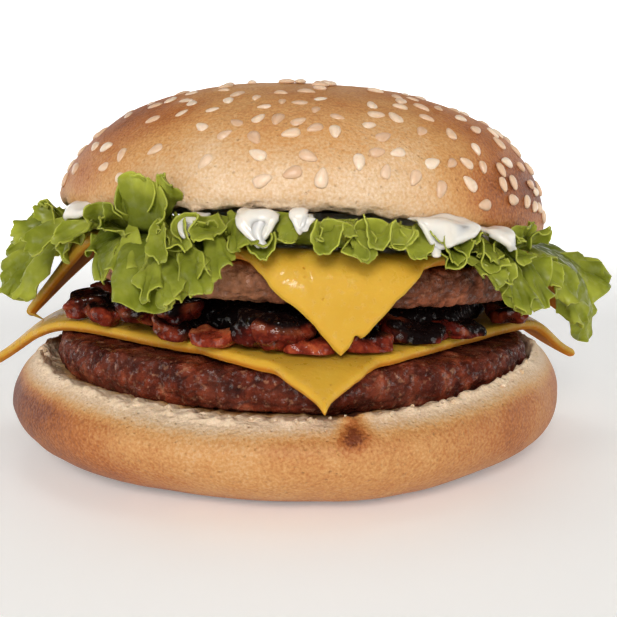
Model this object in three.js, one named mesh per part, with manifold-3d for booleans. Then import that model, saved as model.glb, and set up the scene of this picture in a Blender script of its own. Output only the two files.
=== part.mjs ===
// A double cheeseburger: a seeded bun, two beef patties, two slices of cheese, chopped bacon, curly
// lettuce and mayonnaise. Units are millimetres and +Z is up. The origin is the centre of the heel's
// flat underside, and -Y is the side that the front corners of the cheese point to.
import * as THREE from "three";
import { mergeVertices } from "three/addons/utils/BufferGeometryUtils.js";
import Module from "manifold-3d";

const wasm = await Module();
wasm.setup();

// ---------------------------------------------------------------------------- driving dimensions
const GAP = 0.3; // clearance between two pieces that touch
const SLIVER = 0.03; // detail below this isn't kept where solids are joined
const LOWER_TILT = 0.02; // how far the lower patty leans to the right, in radians
const UPPER_TILT = 0.045; // the same for everything above the bacon

const HEEL = {
  radius: 58, // at its widest
  centreX: -1.8,
  foot: 40, // radius of the flat underside
  footShift: 1.8, // how far the underside lies to the right of the widest ring
  widestAt: 12, // height of the widest ring
  rim: 21.5, // height of the cut edge at the sides
  rimRadius: 52.2,
  frontSag: 4.7, // how far the filling presses the rim down at the front
  backSag: 2,
  seat: 15.9, // height of the dished cut face, on the axis
  seatRadius: 50.8,
};
const LOWER_PATTY = { radius: 51.8, thickness: 8.7, seed: 11, centreX: -1.2 };
const UPPER_PATTY = { radius: 47.8, thickness: 7.6, seed: 23, centreX: 1.2 };
const CHEESE = { side: 99, thickness: 2.1, sag: 0.9 };
const BACON = {
  layer: 6.6, // room for it on the axis
  coreRadius: 41, // of the heap that its outer pieces lie round
  forward: 3.5, // how far that heap lies to the front
  pieces: 19,
};
const SALAD = {
  layer: 5.9, // room for it on the axis, with the mayonnaise
  leaf: 0.9, // thickness of a leaf at its root
  margin: 0.55, // and at its margin
  inner: 38, // distance from the axis at which a leaf starts
  edge: 46.5, // and at which it comes out of the bun
};
const MAYONNAISE = { radius: 36, thickness: 1.7 };
const CROWN = {
  radius: 50.6,
  height: 25.7,
  widestAt: 2.6,
  sagRight: 5.2, // how far the rim droops at the right
  sagLeft: 2,
  seeds: 96,
  centreX: -0.5,
};

// Heights on the axis, each piece resting on the one below.
const lowerPattyZ = HEEL.seat + GAP;
const lowerCheeseZ = lowerPattyZ + LOWER_PATTY.thickness + GAP;
const baconZ = lowerCheeseZ + CHEESE.thickness + GAP;
const upperPattyZ = baconZ + BACON.layer;
const upperCheeseZ = upperPattyZ + UPPER_PATTY.thickness + GAP;
const saladZ = upperCheeseZ + CHEESE.thickness + GAP;
const crownZ = saladZ + SALAD.layer;

// ---------------------------------------------------------------------------- numbers and noise
const TAU = 2 * Math.PI;
const { clamp, lerp, smoothstep, degToRad } = THREE.MathUtils;

// A seeded source of random numbers between 0 and 1.
function randomSource(seed) {
  let state = seed >>> 0;
  return () => {
    state = (state + 0x6d2b79f5) >>> 0;
    let t = Math.imul(state ^ (state >>> 15), 1 | state);
    t = (t + Math.imul(t ^ (t >>> 7), 61 | t)) ^ t;
    return ((t ^ (t >>> 14)) >>> 0) / 4294967296;
  };
}

// A fixed value between 0 and 1 for each point of a whole-number grid.
function gridValue(ix, iy, iz, seed) {
  let h = Math.imul(ix, 374761393) + Math.imul(iy, 668265263);
  h = (h + Math.imul(iz, 1442695041) + Math.imul(seed, 974634777)) | 0;
  h = Math.imul(h ^ (h >>> 13), 1274126177);
  return ((h ^ (h >>> 16)) >>> 0) / 4294967296;
}

// Smooth noise between 0 and 1 with lumps of about the given size.
function lumps(x, y, z, size, seed) {
  const p = [x / size, y / size, z / size];
  const cell = p.map(Math.floor);
  const f = p.map((value, k) => smoothstep(value - cell[k], 0, 1));
  let sum = 0;
  for (let corner = 0; corner < 8; corner += 1) {
    const bit = [corner & 1, (corner >> 1) & 1, corner >> 2];
    const weight = bit.reduce((w, b, k) => w * (b ? f[k] : 1 - f[k]), 1);
    sum += weight * gridValue(cell[0] + bit[0], cell[1] + bit[1], cell[2] + bit[2], seed);
  }
  return sum;
}

// ---------------------------------------------------------------------------- solids
function toManifold(geometry) {
  const bare = geometry.clone();
  bare.deleteAttribute("normal");
  bare.deleteAttribute("uv");
  const merged = mergeVertices(bare, 1e-4);
  return new wasm.Manifold(
    new wasm.Mesh({
      numProp: 3,
      vertProperties: new Float32Array(merged.attributes.position.array),
      triVerts: new Uint32Array(merged.index.array),
    }),
  );
}

// The joined solid without the slivers that two surfaces leave where they all but touch.
function toGeometry(manifold) {
  const mesh = manifold.asOriginal().simplify(SLIVER).getMesh();
  const positions = new Float32Array(mesh.numVert * 3);
  for (let i = 0; i < mesh.numVert; i += 1) {
    const start = i * mesh.numProp;
    positions.set(mesh.vertProperties.subarray(start, start + 3), i * 3);
  }
  return new THREE.BufferGeometry()
    .setAttribute("position", new THREE.BufferAttribute(positions, 3))
    .setIndex(new THREE.BufferAttribute(new Uint32Array(mesh.triVerts), 1));
}

// The largest body of a solid, without the scraps and sealed hollows that joining and cutting leave.
function largestBody(manifold) {
  return manifold.decompose().reduce((a, b) => (b.volume() > a.volume() ? b : a));
}

// A closed solid of stacked rings. at(k, angle) gives the point of ring k, with k from 0 at the foot
// of the axis to rings at its top; the first and last rings are single points.
function ringSolid(rings, segments, at) {
  const positions = [];
  const index = [];
  for (let k = 0; k <= rings; k += 1) {
    const around = k === 0 || k === rings ? 1 : segments;
    for (let j = 0; j < around; j += 1) positions.push(...at(k, (j / segments) * TAU));
  }
  const vertex = (k, j) => {
    if (k === 0) return 0;
    if (k === rings) return 1 + (rings - 1) * segments;
    return 1 + (k - 1) * segments + (j % segments);
  };
  for (let k = 0; k < rings; k += 1) {
    for (let j = 0; j < segments; j += 1) {
      const [a, b, c, d] = [vertex(k, j), vertex(k, j + 1), vertex(k + 1, j + 1), vertex(k + 1, j)];
      if (k > 0) index.push(a, b, c);
      if (k === 0) index.push(a, c, d);
      else if (k < rings - 1) index.push(a, c, d);
    }
  }
  return new THREE.BufferGeometry()
    .setAttribute("position", new THREE.Float32BufferAttribute(positions, 3))
    .setIndex(index);
}

// A closed thin sheet. under(u, v) gives its lower face for u and v from 0 to 1, and its upper face
// lies thickness(v) above that along the normal. Both faces have the same triangles. With across, the
// triangles run across all four corners, so that each can fold down.
function sheetSolid(columns, rows, under, thickness, across = false) {
  const step = 1e-3;
  const positions = [];
  const index = [];
  const upper = [];
  for (let i = 0; i <= columns; i += 1) {
    for (let j = 0; j <= rows; j += 1) {
      const [u, v] = [i / columns, j / rows];
      const point = under(u, v);
      const alongU = under(u + step, v).sub(under(u - step, v));
      const alongV = under(u, v + step).sub(under(u, v - step));
      const normal = alongU.cross(alongV).normalize();
      positions.push(point.x, point.y, point.z);
      upper.push(...point.addScaledVector(normal, thickness(v)).toArray());
    }
  }
  const count = positions.length / 3;
  positions.push(...upper);
  const vertex = (i, j) => i * (rows + 1) + j;
  for (let i = 0; i < columns; i += 1) {
    for (let j = 0; j < rows; j += 1) {
      const [a, b, c, d] = [vertex(i, j), vertex(i + 1, j), vertex(i + 1, j + 1), vertex(i, j + 1)];
      const rising = (i < columns / 2) === (j < rows / 2) && across;
      const [p, q, r, t] = rising ? [b, c, d, a] : [a, b, c, d];
      index.push(p + count, q + count, r + count, p + count, r + count, t + count);
      index.push(p, r, q, p, t, r);
    }
  }
  const wall = (a, b) => index.push(a, b, b + count, a, b + count, a + count);
  for (let i = 0; i < columns; i += 1) {
    wall(vertex(i, 0), vertex(i + 1, 0));
    wall(vertex(i + 1, rows), vertex(i, rows));
  }
  for (let j = 0; j < rows; j += 1) {
    wall(vertex(0, j + 1), vertex(0, j));
    wall(vertex(columns, j), vertex(columns, j + 1));
  }
  return new THREE.BufferGeometry()
    .setAttribute("position", new THREE.Float32BufferAttribute(positions, 3))
    .setIndex(index);
}

// ---------------------------------------------------------------------------- the bun
// Height of the heel's cut edge at an angle: the filling weighs it down at the front.
function heelRim(angle) {
  const front = Math.max(0, -Math.sin(angle));
  const back = Math.max(0, Math.sin(angle));
  return HEEL.rim - HEEL.frontSag * front ** 2 - HEEL.backSag * back ** 2;
}

function heelGeometry() {
  const foot = 1;
  const side = 9;
  const face = 2;
  const shoulder = degToRad(58); // how far the crust turns in before the cut edge
  return ringSolid(foot + side + face, 40, (k, angle) => {
    const wobble = 1 + 0.012 * Math.sin(2 * angle + 0.6) + 0.008 * Math.sin(5 * angle + 2);
    let r;
    let z;
    if (k <= foot) {
      r = (HEEL.foot * k) / foot;
      z = 0;
    } else if (k <= foot + side) {
      const turn = lerp(-Math.PI / 2, shoulder, (k - foot) / side);
      r = lerp(turn < 0 ? HEEL.foot : HEEL.rimRadius - 6, HEEL.radius, Math.cos(turn));
      const up = (heelRim(angle) - HEEL.widestAt) / Math.sin(shoulder);
      z = HEEL.widestAt + Math.sin(turn) * (turn < 0 ? HEEL.widestAt : up);
    } else {
      r = (HEEL.seatRadius * (foot + side + face - k)) / (face - 1);
      z = HEEL.seat - LOWER_TILT * r * Math.cos(angle);
    }
    const x = r * wobble * Math.cos(angle) + HEEL.footShift * Math.max(0, 1 - z / HEEL.widestAt);
    return [x, r * wobble * Math.sin(angle), z];
  });
}

// The crown's outline: turn goes from -90 degrees at the cut face, through 0 at its widest, to 90
// degrees at the top. Gives radius and height above the cut face.
function crownOutline(turn) {
  const lower = turn < 0;
  const r = lower ? CROWN.radius - 2 + 2 * Math.cos(turn) : CROWN.radius * Math.cos(turn);
  const rise = lower ? CROWN.widestAt : CROWN.height - CROWN.widestAt;
  return [r, CROWN.widestAt + rise * Math.sin(turn)];
}

// How far the crown's rim has sagged: over the filling's lower right side, and a little at the left.
function crownSag(r, angle) {
  const x = r * Math.cos(angle);
  const sag = CROWN.sagRight * smoothstep(x, 5, 60) + CROWN.sagLeft * smoothstep(-x, 5, 55);
  return sag * clamp((r - 40) / 10, 0, 1);
}

function crownPoint(turn, angle) {
  const [r, z] = crownOutline(turn);
  const leftShoulder = 0.05 * Math.max(0, -Math.cos(angle)) * Math.max(0, Math.sin(2 * turn));
  const wobble = 1 + 0.01 * Math.sin(2 * angle + 1) + 0.008 * Math.sin(3 * angle + 4) - leftShoulder;
  const sag = crownSag(r, angle) * (1 - z / CROWN.height);
  return new THREE.Vector3(r * wobble * Math.cos(angle), r * wobble * Math.sin(angle), z - sag);
}

// Sesame seeds in a golden-angle spiral over the dome, each shifted and turned at random.
function seedPlaces() {
  const random = randomSource(7);
  const places = [];
  for (let k = 0; k < CROWN.seeds; k += 1) {
    const share = (k + 0.5) / CROWN.seeds;
    const turn = Math.PI / 2 - share ** 0.6 * degToRad(84) + (random() - 0.5) * 0.09;
    const angle = k * Math.PI * (3 - Math.sqrt(5)) + (random() - 0.5) * 0.5;
    places.push({ turn, angle, spin: random() * TAU, length: lerp(2.8, 3.5, random()) });
  }
  return places;
}

// One seed: a flat drop, pointed at one end, lying half in the crust.
function seedSolid({ turn, angle, spin, length }) {
  const seed = new THREE.SphereGeometry(1, 6, 3).rotateX(Math.PI / 2);
  const p = seed.attributes.position;
  for (let i = 0; i < p.count; i += 1) {
    const taper = 1 - 0.35 * p.getX(i);
    p.setXYZ(i, p.getX(i) * 0.52 * length, p.getY(i) * 0.32 * length * taper, p.getZ(i) * 0.75);
  }
  const step = 1e-3;
  const point = crownPoint(turn, angle);
  const up = crownPoint(turn + step, angle).sub(point).normalize();
  const along = crownPoint(turn, angle + step).sub(point).normalize();
  const out = along.clone().cross(up).normalize();
  seed.rotateZ(spin);
  seed.applyMatrix4(new THREE.Matrix4().makeBasis(along, up, out).setPosition(point));
  return toManifold(seed);
}

function crownGeometry() {
  const face = 2;
  const flat = 40; // radius of the part of the cut face that doesn't sag
  const edge = 2;
  const dome = 8;
  const body = ringSolid(face + edge + dome, 40, (k, angle) => {
    if (k < face) return [flat * k * Math.cos(angle), flat * k * Math.sin(angle), 0];
    const turn =
      k <= face + edge
        ? lerp(-Math.PI / 2, 0, (k - face) / edge)
        : lerp(0, Math.PI / 2, (k - face - edge) / dome);
    return crownPoint(turn, angle).toArray();
  });
  let crown = toManifold(body);
  for (const place of seedPlaces()) crown = crown.add(seedSolid(place));
  return toGeometry(crown);
}

// ---------------------------------------------------------------------------- the patties
// A disc of minced beef with a rounded side. Crags are cut in from its outline, never added to it.
function pattyGeometry({ radius, thickness, seed }) {
  const face = 2; // rings on each flat face
  const side = 5; // rings round the side
  const corner = thickness / 2;
  return ringSolid(2 * face + side, 40, (k, angle) => {
    const turn = lerp(-Math.PI / 2, Math.PI / 2, clamp((k - face) / side, 0, 1));
    const flat = (radius - corner) * clamp(Math.min(k, 2 * face + side - k) / face, 0, 1);
    const round = Math.cos(turn) ** 0.7;
    const r = flat + corner * round;
    const z = corner + corner * Math.sin(turn);
    const [x, y] = [r * Math.cos(angle), r * Math.sin(angle)];
    const rough = lumps(x, y, z, 9, seed) * 1.6 + lumps(x, y, z, 4.5, seed + 1) * 1.2;
    const uneven = 1 - 0.008 * (1 + Math.sin(2 * angle + seed)) - 0.005 * (1 + Math.sin(5 * angle));
    const inward = uneven - (rough * round) / radius;
    const dent = clamp((r - 20) / 20, 0, 1) * 0.8 * lumps(x, y, z, 7, seed + 2);
    return [x * inward, y * inward, z - dent * Math.sin(turn)];
  });
}

// ---------------------------------------------------------------------------- the cheese
// How each corner hangs: fold is the distance from the middle where it starts to bend down, over
// is the length of that bend, and slope is the angle it reaches. flare turns the tip out again, and
// pull is how far the tip hangs to the left of straight out, seen from the middle.
const LOWER_CORNERS = {
  spin: degToRad(5.5),
  shift: [-2.2, 8.2],
  front: { fold: 59.7, over: 6, slope: degToRad(32), flare: 0, pull: 0 },
  right: { fold: 51.5, over: 7, slope: degToRad(40), flare: degToRad(16), pull: -6 },
  back: { fold: 43, over: 12, slope: degToRad(46), flare: degToRad(10), pull: 0 },
  left: { fold: 47, over: 12, slope: degToRad(42), flare: degToRad(10), pull: 5 },
};
const UPPER_CORNERS = {
  spin: degToRad(6.5),
  shift: [-0.4, 7.6],
  front: { fold: 53.6, over: 6, slope: degToRad(82), flare: 0, pull: 0 },
  right: { fold: 48, over: 6, slope: degToRad(56), flare: degToRad(8), pull: -13 },
  back: { fold: 41, over: 8, slope: degToRad(62), flare: degToRad(10), pull: 3 },
  left: { fold: 45, over: 5, slope: degToRad(56), flare: degToRad(4), pull: 6 },
};
const CORNER_ANGLES = { right: 0, back: Math.PI / 2, left: Math.PI, front: -Math.PI / 2 };

// Where a strip of cheese that hangs over an edge gets to, a length beyond the fold: out and down.
function hang(length, { over, slope, flare }, tip) {
  const steps = 24;
  let out = 0;
  let down = 0;
  for (let k = 0; k < steps; k += 1) {
    const at = (length * (k + 0.5)) / steps;
    const angle = slope * smoothstep(at, 0, over) - flare * smoothstep(at, tip * 0.5, tip);
    out += (Math.cos(angle) * length) / steps;
    down += (Math.sin(angle) * length) / steps;
  }
  return [out, down];
}

// The underside of a draped square slice, for u and v from 0 to 1 across its sides.
function drapedSlice(corners, u, v) {
  const half = CHEESE.side / Math.SQRT2;
  const across = CHEESE.side * (u - 0.5);
  const deep = CHEESE.side * (v - 0.5);
  const turned = Math.PI / 4 + corners.spin;
  let x = across * Math.cos(turned) - deep * Math.sin(turned);
  let y = across * Math.sin(turned) + deep * Math.cos(turned);
  let z = -CHEESE.sag * smoothstep(Math.hypot(x + corners.shift[0], y + corners.shift[1]), 46, 56);
  for (const [name, angle] of Object.entries(CORNER_ANGLES)) {
    const corner = corners[name];
    const dir = [Math.cos(angle + corners.spin), Math.sin(angle + corners.spin)];
    const reach = x * dir[0] + y * dir[1];
    const aside = -x * dir[1] + y * dir[0];
    const fold = corner.fold - (0.3 * aside ** 2) / corner.fold;
    if (reach <= fold) continue;
    const tip = half - corner.fold;
    const [out, down] = hang(reach - fold, corner, tip);
    const along = aside + corner.pull * ((reach - fold) / tip) ** 2;
    x = dir[0] * (fold + out) - dir[1] * along;
    y = dir[1] * (fold + out) + dir[0] * along;
    z -= down;
    break;
  }
  return new THREE.Vector3(x + corners.shift[0], y + corners.shift[1], z);
}

function cheeseGeometry(corners) {
  return sheetSolid(12, 12, (u, v) => drapedSlice(corners, u, v), () => CHEESE.thickness, true);
}

// ---------------------------------------------------------------------------- the bacon
// Pieces that show at the front, by angle, distance from the axis, height above the cheese, length,
// width, thickness and yaw. The lean ones are thick lumps and the fat ones are curled strips.
const BACON_AT_FRONT = [
  { angle: -160, out: 45.5, up: 2.2, length: 11, width: 7, thickness: 4.4, yaw: 84 },
  { angle: -145, out: 46, up: 1.7, length: 8, width: 6.5, thickness: 3.5, yaw: 80 },
  { angle: -133, out: 43.5, up: 3.6, length: 11, width: 8, thickness: 4.4, yaw: 92 },
  { angle: -120, out: 44, up: 4.4, length: 9, width: 8, thickness: 4, yaw: 70 },
  { angle: -119, out: 46, up: 1.6, length: 8, width: 6, thickness: 3.4, yaw: 100 },
  { angle: -108, out: 48, up: 1.5, length: 8, width: 6.5, thickness: 3.2, yaw: 88 },
  { angle: -99.5, out: 47, up: 3.4, length: 7, width: 8, thickness: 5.4, yaw: 70 },
  { angle: -94, out: 47.5, up: 3, length: 9.5, width: 9, thickness: 6.2, yaw: 96 },
  { angle: -88.5, out: 48, up: 1.2, length: 9.5, width: 8, thickness: 3, yaw: 80 },
  { angle: -78, out: 47, up: 2.2, length: 12, width: 7.5, thickness: 4.2, yaw: 92 },
  { angle: -62, out: 42.5, up: 2.6, length: 13, width: 8, thickness: 4.4, yaw: 84 },
  { angle: -46, out: 42, up: 2.2, length: 12, width: 8, thickness: 4, yaw: 100 },
];

// One chopped piece: a lumpy slab with round ends that curls along its length and lies at a slant.
function baconPiece({ angle, out, up, length, width, thickness, yaw, pitch, roll, seed }) {
  const slab = new THREE.SphereGeometry(1, 7, 4).rotateX(Math.PI / 2);
  const p = slab.attributes.position;
  for (let i = 0; i < p.count; i += 1) {
    const [x, y, z] = [p.getX(i), p.getY(i), p.getZ(i)];
    const blunt = 1 / Math.max(Math.abs(x) ** 3 + Math.abs(y) ** 3 + Math.abs(z) ** 3, 0.1) ** (1 / 3);
    const lump = blunt * (0.84 + 0.3 * lumps(x * length, y * width, z * thickness, 5, seed));
    const curl = 0.9 * (2 * x ** 2 - 1) * Math.min(1, length / 12);
    p.setXYZ(i, (x * lump * length) / 2, (y * lump * width) / 2, (z * lump * thickness) / 2 + curl);
  }
  slab.rotateX(roll);
  slab.rotateY(pitch);
  slab.rotateZ(degToRad(angle + yaw));
  const at = degToRad(angle);
  return toManifold(slab.translate(out * Math.cos(at), out * Math.sin(at), baconZ + up));
}

// A disc between two heights.
function slab(radius, low, high) {
  const outline = [[0, low], [radius, low], [radius, high], [0, high]];
  const points = outline.map(([r, z]) => new THREE.Vector2(r, z));
  return new THREE.LatheGeometry(points, 24).rotateX(Math.PI / 2);
}

// The wedge of room between the lower cheese and the upper patty, out to a radius.
function roomForBacon(radius) {
  const [low, high] = [baconZ, upperPattyZ - GAP];
  const overCheese = slab(radius, low, high + 9).rotateY(LOWER_TILT - UPPER_TILT);
  return toManifold(overCheese).intersect(toManifold(slab(radius + 9, low - 9, high)));
}

function baconGeometry() {
  const random = randomSource(31);
  const around = BACON.pieces - BACON_AT_FRONT.length;
  let heap = roomForBacon(BACON.coreRadius).translate([0, -BACON.forward, 0]);
  for (let k = 0; k < BACON.pieces; k += 1) {
    const shape = BACON_AT_FRONT[k] ?? {
      angle: -24 + ((k - BACON_AT_FRONT.length) * 232) / around + random() * 8,
      out: lerp(42, 45, random()),
      up: lerp(1.8, 4.2, random()),
      length: lerp(11, 17, random()),
      width: lerp(7, 9, random()),
      thickness: lerp(3, 5, random()),
      yaw: lerp(60, 120, random()),
    };
    const [pitch, roll] = [(random() - 0.5) * 0.4, (random() - 0.5) * 0.5];
    heap = heap.add(baconPiece({ ...shape, pitch, roll, seed: 100 + 7 * k }));
  }
  return toGeometry(largestBody(heap.intersect(roomForBacon(60))));
}

// ---------------------------------------------------------------------------- the lettuce
// The sheets of each leaf by the angles that the root spans, the root's height, how many frills the
// margin has and how far they swing, and the points that the margin passes: angle, distance from the
// axis and height. Heights are above the cheese.
const LEAVES = {
  lettuce_left: [
    {
      from: -206, to: -158, root: 0.2, frills: 4, swing: 1, seed: 3,
      margin: [
        [-208, 51, 1], [-203, 54, -2], [-198, 59, -6.5], [-192, 62.5, -10], [-187, 65, -10.5],
        [-183, 65.5, -9.5], [-178, 65.5, -13], [-172, 62.5, -16], [-166, 59.5, -15.5], [-161, 57.5, -13],
        [-158, 55.5, -8], [-156, 53, -2],
      ],
    },
    {
      from: -172, to: -143, root: 0.7, frills: 3, swing: 1, seed: 4,
      margin: [
        [-175, 51, 1.5], [-166, 54.5, 3], [-158, 56, 3.5], [-152, 55.5, 5], [-149.5, 55.5, 1],
        [-147.5, 54.5, -4], [-144.5, 53.5, -5.5], [-142.5, 52.5, -2], [-142, 51, 1.5],
      ],
    },
  ],
  lettuce_front_left: [
    {
      from: -140, to: -107, root: 0.7, frills: 3.5, swing: 1, seed: 5,
      margin: [
        [-139, 51, 0.5], [-134.5, 53.5, 4], [-130.5, 54.5, 5], [-128, 55.5, 1], [-124.5, 54, 0.5],
        [-125, 51.8, 4], [-126.5, 53.6, 8.5], [-122.5, 53.8, 10.8], [-118, 53.6, 9], [-115.5, 54, 5],
        [-116, 55, 1], [-112.5, 55.5, -0.5], [-110, 54, 3.5], [-107, 53.5, 3.5], [-106, 52, 1],
      ],
    },
    {
      from: -140, to: -107, root: 0.2, frills: 3.5, swing: 1, seed: 6,
      margin: [
        [-140, 51, -1], [-133.5, 54.5, -3], [-130, 55.5, -7], [-126, 55.5, -7], [-124.5, 53.5, -3],
        [-122, 56.5, -5], [-119.5, 58, -10.2], [-115, 58, -11.2], [-109.5, 58.5, -9], [-108.5, 57, -5.5],
        [-110.5, 54.5, -3], [-108, 56.5, -5.5], [-105, 56, -5], [-105.5, 53, 0],
      ],
    },
  ],
  lettuce_front: [
    {
      from: -104, to: -73, root: 0.5, frills: 5.5, swing: 3.1, seed: 8,
      margin: [[-104, 52.5, 2.5], [-96, 53.5, 3.2], [-89, 54, 2.6], [-80, 54.5, 2], [-72, 53.5, 3]],
    },
  ],
  lettuce_front_right: [
    {
      from: -66, to: -37, root: 0.7, frills: 3.5, swing: 1, seed: 13,
      margin: [
        [-68, 52.5, 1.5], [-67, 55.5, -1], [-64.5, 56.5, 0], [-62.5, 54, 3.5], [-59.5, 53, 0.5],
        [-57, 56, -2], [-53, 55.5, 1], [-48, 55, 3], [-44, 54, 4.5], [-40, 54, 5], [-37, 53.5, 2],
      ],
    },
    {
      from: -63, to: -37, root: 0.2, frills: 3, swing: 1, seed: 14,
      margin: [
        [-61, 53.5, -1.5], [-58.5, 56, -3], [-55.5, 57.5, -5], [-52.5, 55, -3.5], [-53, 57, -8],
        [-49, 58.5, -9.5], [-45.5, 58, -8.5], [-42, 57.5, -6], [-39.5, 57, -2.5], [-36.5, 54, -1],
      ],
    },
  ],
  lettuce_right: [
    {
      from: -33, to: 14, root: 0.5, frills: 3, swing: 0.8, seed: 21,
      margin: [
        [-34, 52.5, -1], [-27, 54, -3], [-21.5, 55, -8], [-18, 57, -14], [-14.5, 58.5, -18.5],
        [-10, 61.5, -18.8], [-8.5, 62.5, -15], [-9.5, 62, -11.5], [-6.5, 65, -9.5], [-4, 66.3, -6.5],
        [0, 65, -3.5], [5, 62, -5], [10, 59.5, -4], [14, 56.5, 0.5],
      ],
    },
  ],
  lettuce_back_right: [
    {
      from: 18, to: 82, root: 0.6, frills: 4, swing: 1.6, seed: 34,
      margin: [[17, 53, 0], [30, 61, -2.5], [42, 57, 3], [54, 62.5, -4], [68, 59, 2], [82, 55, 0]],
    },
  ],
  lettuce_back_left: [
    {
      from: 86, to: 150, root: 0.6, frills: 4, swing: 1.6, seed: 55,
      margin: [[85, 55, 1], [98, 62, -3.5], [110, 58, 2], [122, 61.5, -3], [136, 58, 0], [150, 53, 1]],
    },
  ],
};

function polar(r, angle, z) {
  return new THREE.Vector3(r * Math.cos(angle), r * Math.sin(angle), z);
}

// The underside of a sheet before it frills: u runs along its margin, short of the ends, and v from
// its hidden middle to the margin. It leaves the bun level and then bends up or down to the margin.
function smoothLeaf({ from, to, root: rootHeight, curve }, u, v) {
  const hidden = 1 / 5; // share of v that lies between the bun and the cheese
  const angle = degToRad(lerp(from, to, u));
  const level = rootHeight - 0.1 * crownSag(50, angle);
  if (v < hidden) return polar(lerp(SALAD.inner, SALAD.edge, v / hidden), angle, level);
  const end = curve.getPoint(lerp(0.005, 0.995, u));
  const tip = polar(end.y, end.x, end.z);
  const root = polar(SALAD.edge, angle, level);
  const far = tip.distanceTo(root);
  const bendHeight = level + 2 * (rootHeight - 0.5) - 0.2 * crownSag(50, angle);
  const bend = polar(SALAD.edge + 0.55 * far, angle, bendHeight);
  const w = (v - hidden) / (1 - hidden);
  root.multiplyScalar((1 - w) ** 2).addScaledVector(bend, 2 * w * (1 - w));
  return root.addScaledVector(tip, w ** 2);
}

// The same with its frill, which swings to both sides of the sheet and grows towards the margin.
function leafPoint(sheet, u, v) {
  const step = 1e-3;
  const point = smoothLeaf(sheet, u, v);
  const alongU = smoothLeaf(sheet, u + step, v).sub(smoothLeaf(sheet, u - step, v));
  const alongV = smoothLeaf(sheet, u, v + step).sub(smoothLeaf(sheet, u, v - step));
  const normal = alongU.cross(alongV).normalize();
  const phase = (u + 0.03 * Math.sin(9 * u + sheet.seed)) * sheet.frills * TAU + sheet.seed;
  const loose = Math.max(0, (v - 0.35) / 0.65) ** 1.5;
  const swing = sheet.swing * (0.8 + 0.3 * Math.sin(0.37 * phase + sheet.seed)) * loose;
  return point.addScaledVector(normal, swing * Math.sin(phase));
}

function leafGeometry(sheets) {
  const solids = sheets.map((sheet) => {
    const points = sheet.margin.map(([angle, r, z]) => new THREE.Vector3(degToRad(angle), r, z));
    const shape = { ...sheet, curve: new THREE.CatmullRomCurve3(points, false, "catmullrom") };
    const columns = Math.max(Math.round(sheet.frills * 5), Math.round(points.length * 1.6));
    const thickness = (v) => lerp(SALAD.leaf, SALAD.margin, v);
    return toManifold(sheetSolid(columns, 5, (u, v) => leafPoint(shape, 1 - u, v), thickness));
  });
  return toGeometry(largestBody(solids.reduce((a, b) => a.add(b))));
}

// ---------------------------------------------------------------------------- the mayonnaise
// Where the sauce squeezes out under the crown: angle and half width in degrees, and how far out.
const SQUEEZED = [
  { angle: -143, width: 6, out: 14 },
  { angle: -97.5, width: 2.4, out: 12 },
  { angle: -89.5, width: 2, out: 11 },
  { angle: -63, width: 5.5, out: 15 },
  { angle: -51, width: 3.5, out: 14 },
  { angle: 70, width: 8, out: 8 },
  { angle: 118, width: 10, out: 8 },
  { angle: 165, width: 8, out: 8 },
];

// How far a full turn of direction lies between two angles, without its sign.
function apart(a, b) {
  return Math.abs(Math.atan2(Math.sin(a - b), Math.cos(a - b)));
}

function mayonnaiseGeometry() {
  const side = 3; // rings round the edge
  const half = MAYONNAISE.thickness / 2;
  return ringSolid(side + 2, 48, (k, angle) => {
    let edge = MAYONNAISE.radius + 1.2 * Math.sin(3 * angle) + 0.8 * Math.sin(7 * angle + 1);
    for (const { angle: middle, width, out } of SQUEEZED) {
      edge += out * Math.exp(-((apart(angle, degToRad(middle)) / degToRad(width)) ** 2));
    }
    const turn = lerp(-Math.PI / 2, Math.PI / 2, clamp((k - 1) / side, 0, 1));
    const r = k === 0 || k === side + 2 ? 0 : edge - half + half * Math.cos(turn);
    const z = half + half * Math.sin(turn) - crownSag(r + 2, angle);
    return [r * Math.cos(angle), r * Math.sin(angle), z];
  });
}

// ---------------------------------------------------------------------------- placing the pieces
function material(color, roughness) {
  return new THREE.MeshStandardMaterial({ color, roughness, metalness: 0 });
}

function piece(name, geometry, surface, z) {
  const mesh = new THREE.Mesh(geometry, surface);
  mesh.name = name;
  mesh.position.z = z;
  return mesh;
}

const crust = material(0xc98a4e, 0.6);
const beef = material(0x5a2f22, 0.5);
const cheddar = material(0xe8ae2c, 0.4);
const rasher = material(0x7d2b20, 0.35);
const leafGreen = material(0x8fb944, 0.5);
const sauce = material(0xf1ecdc, 0.25);

const burger = new THREE.Group();
const heel = piece("bottom_bun", heelGeometry(), crust, 0);
heel.position.x = HEEL.centreX;
burger.add(heel);

// The lower patty leans with the heel's dished face.
const lowerStack = new THREE.Group();
lowerStack.rotation.y = LOWER_TILT;
const lowerPatty = piece("lower_patty", pattyGeometry(LOWER_PATTY), beef, lowerPattyZ);
lowerPatty.position.x = LOWER_PATTY.centreX;
lowerStack.add(lowerPatty);
lowerStack.add(piece("lower_cheese", cheeseGeometry(LOWER_CORNERS), cheddar, lowerCheeseZ));
burger.add(lowerStack);

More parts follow.
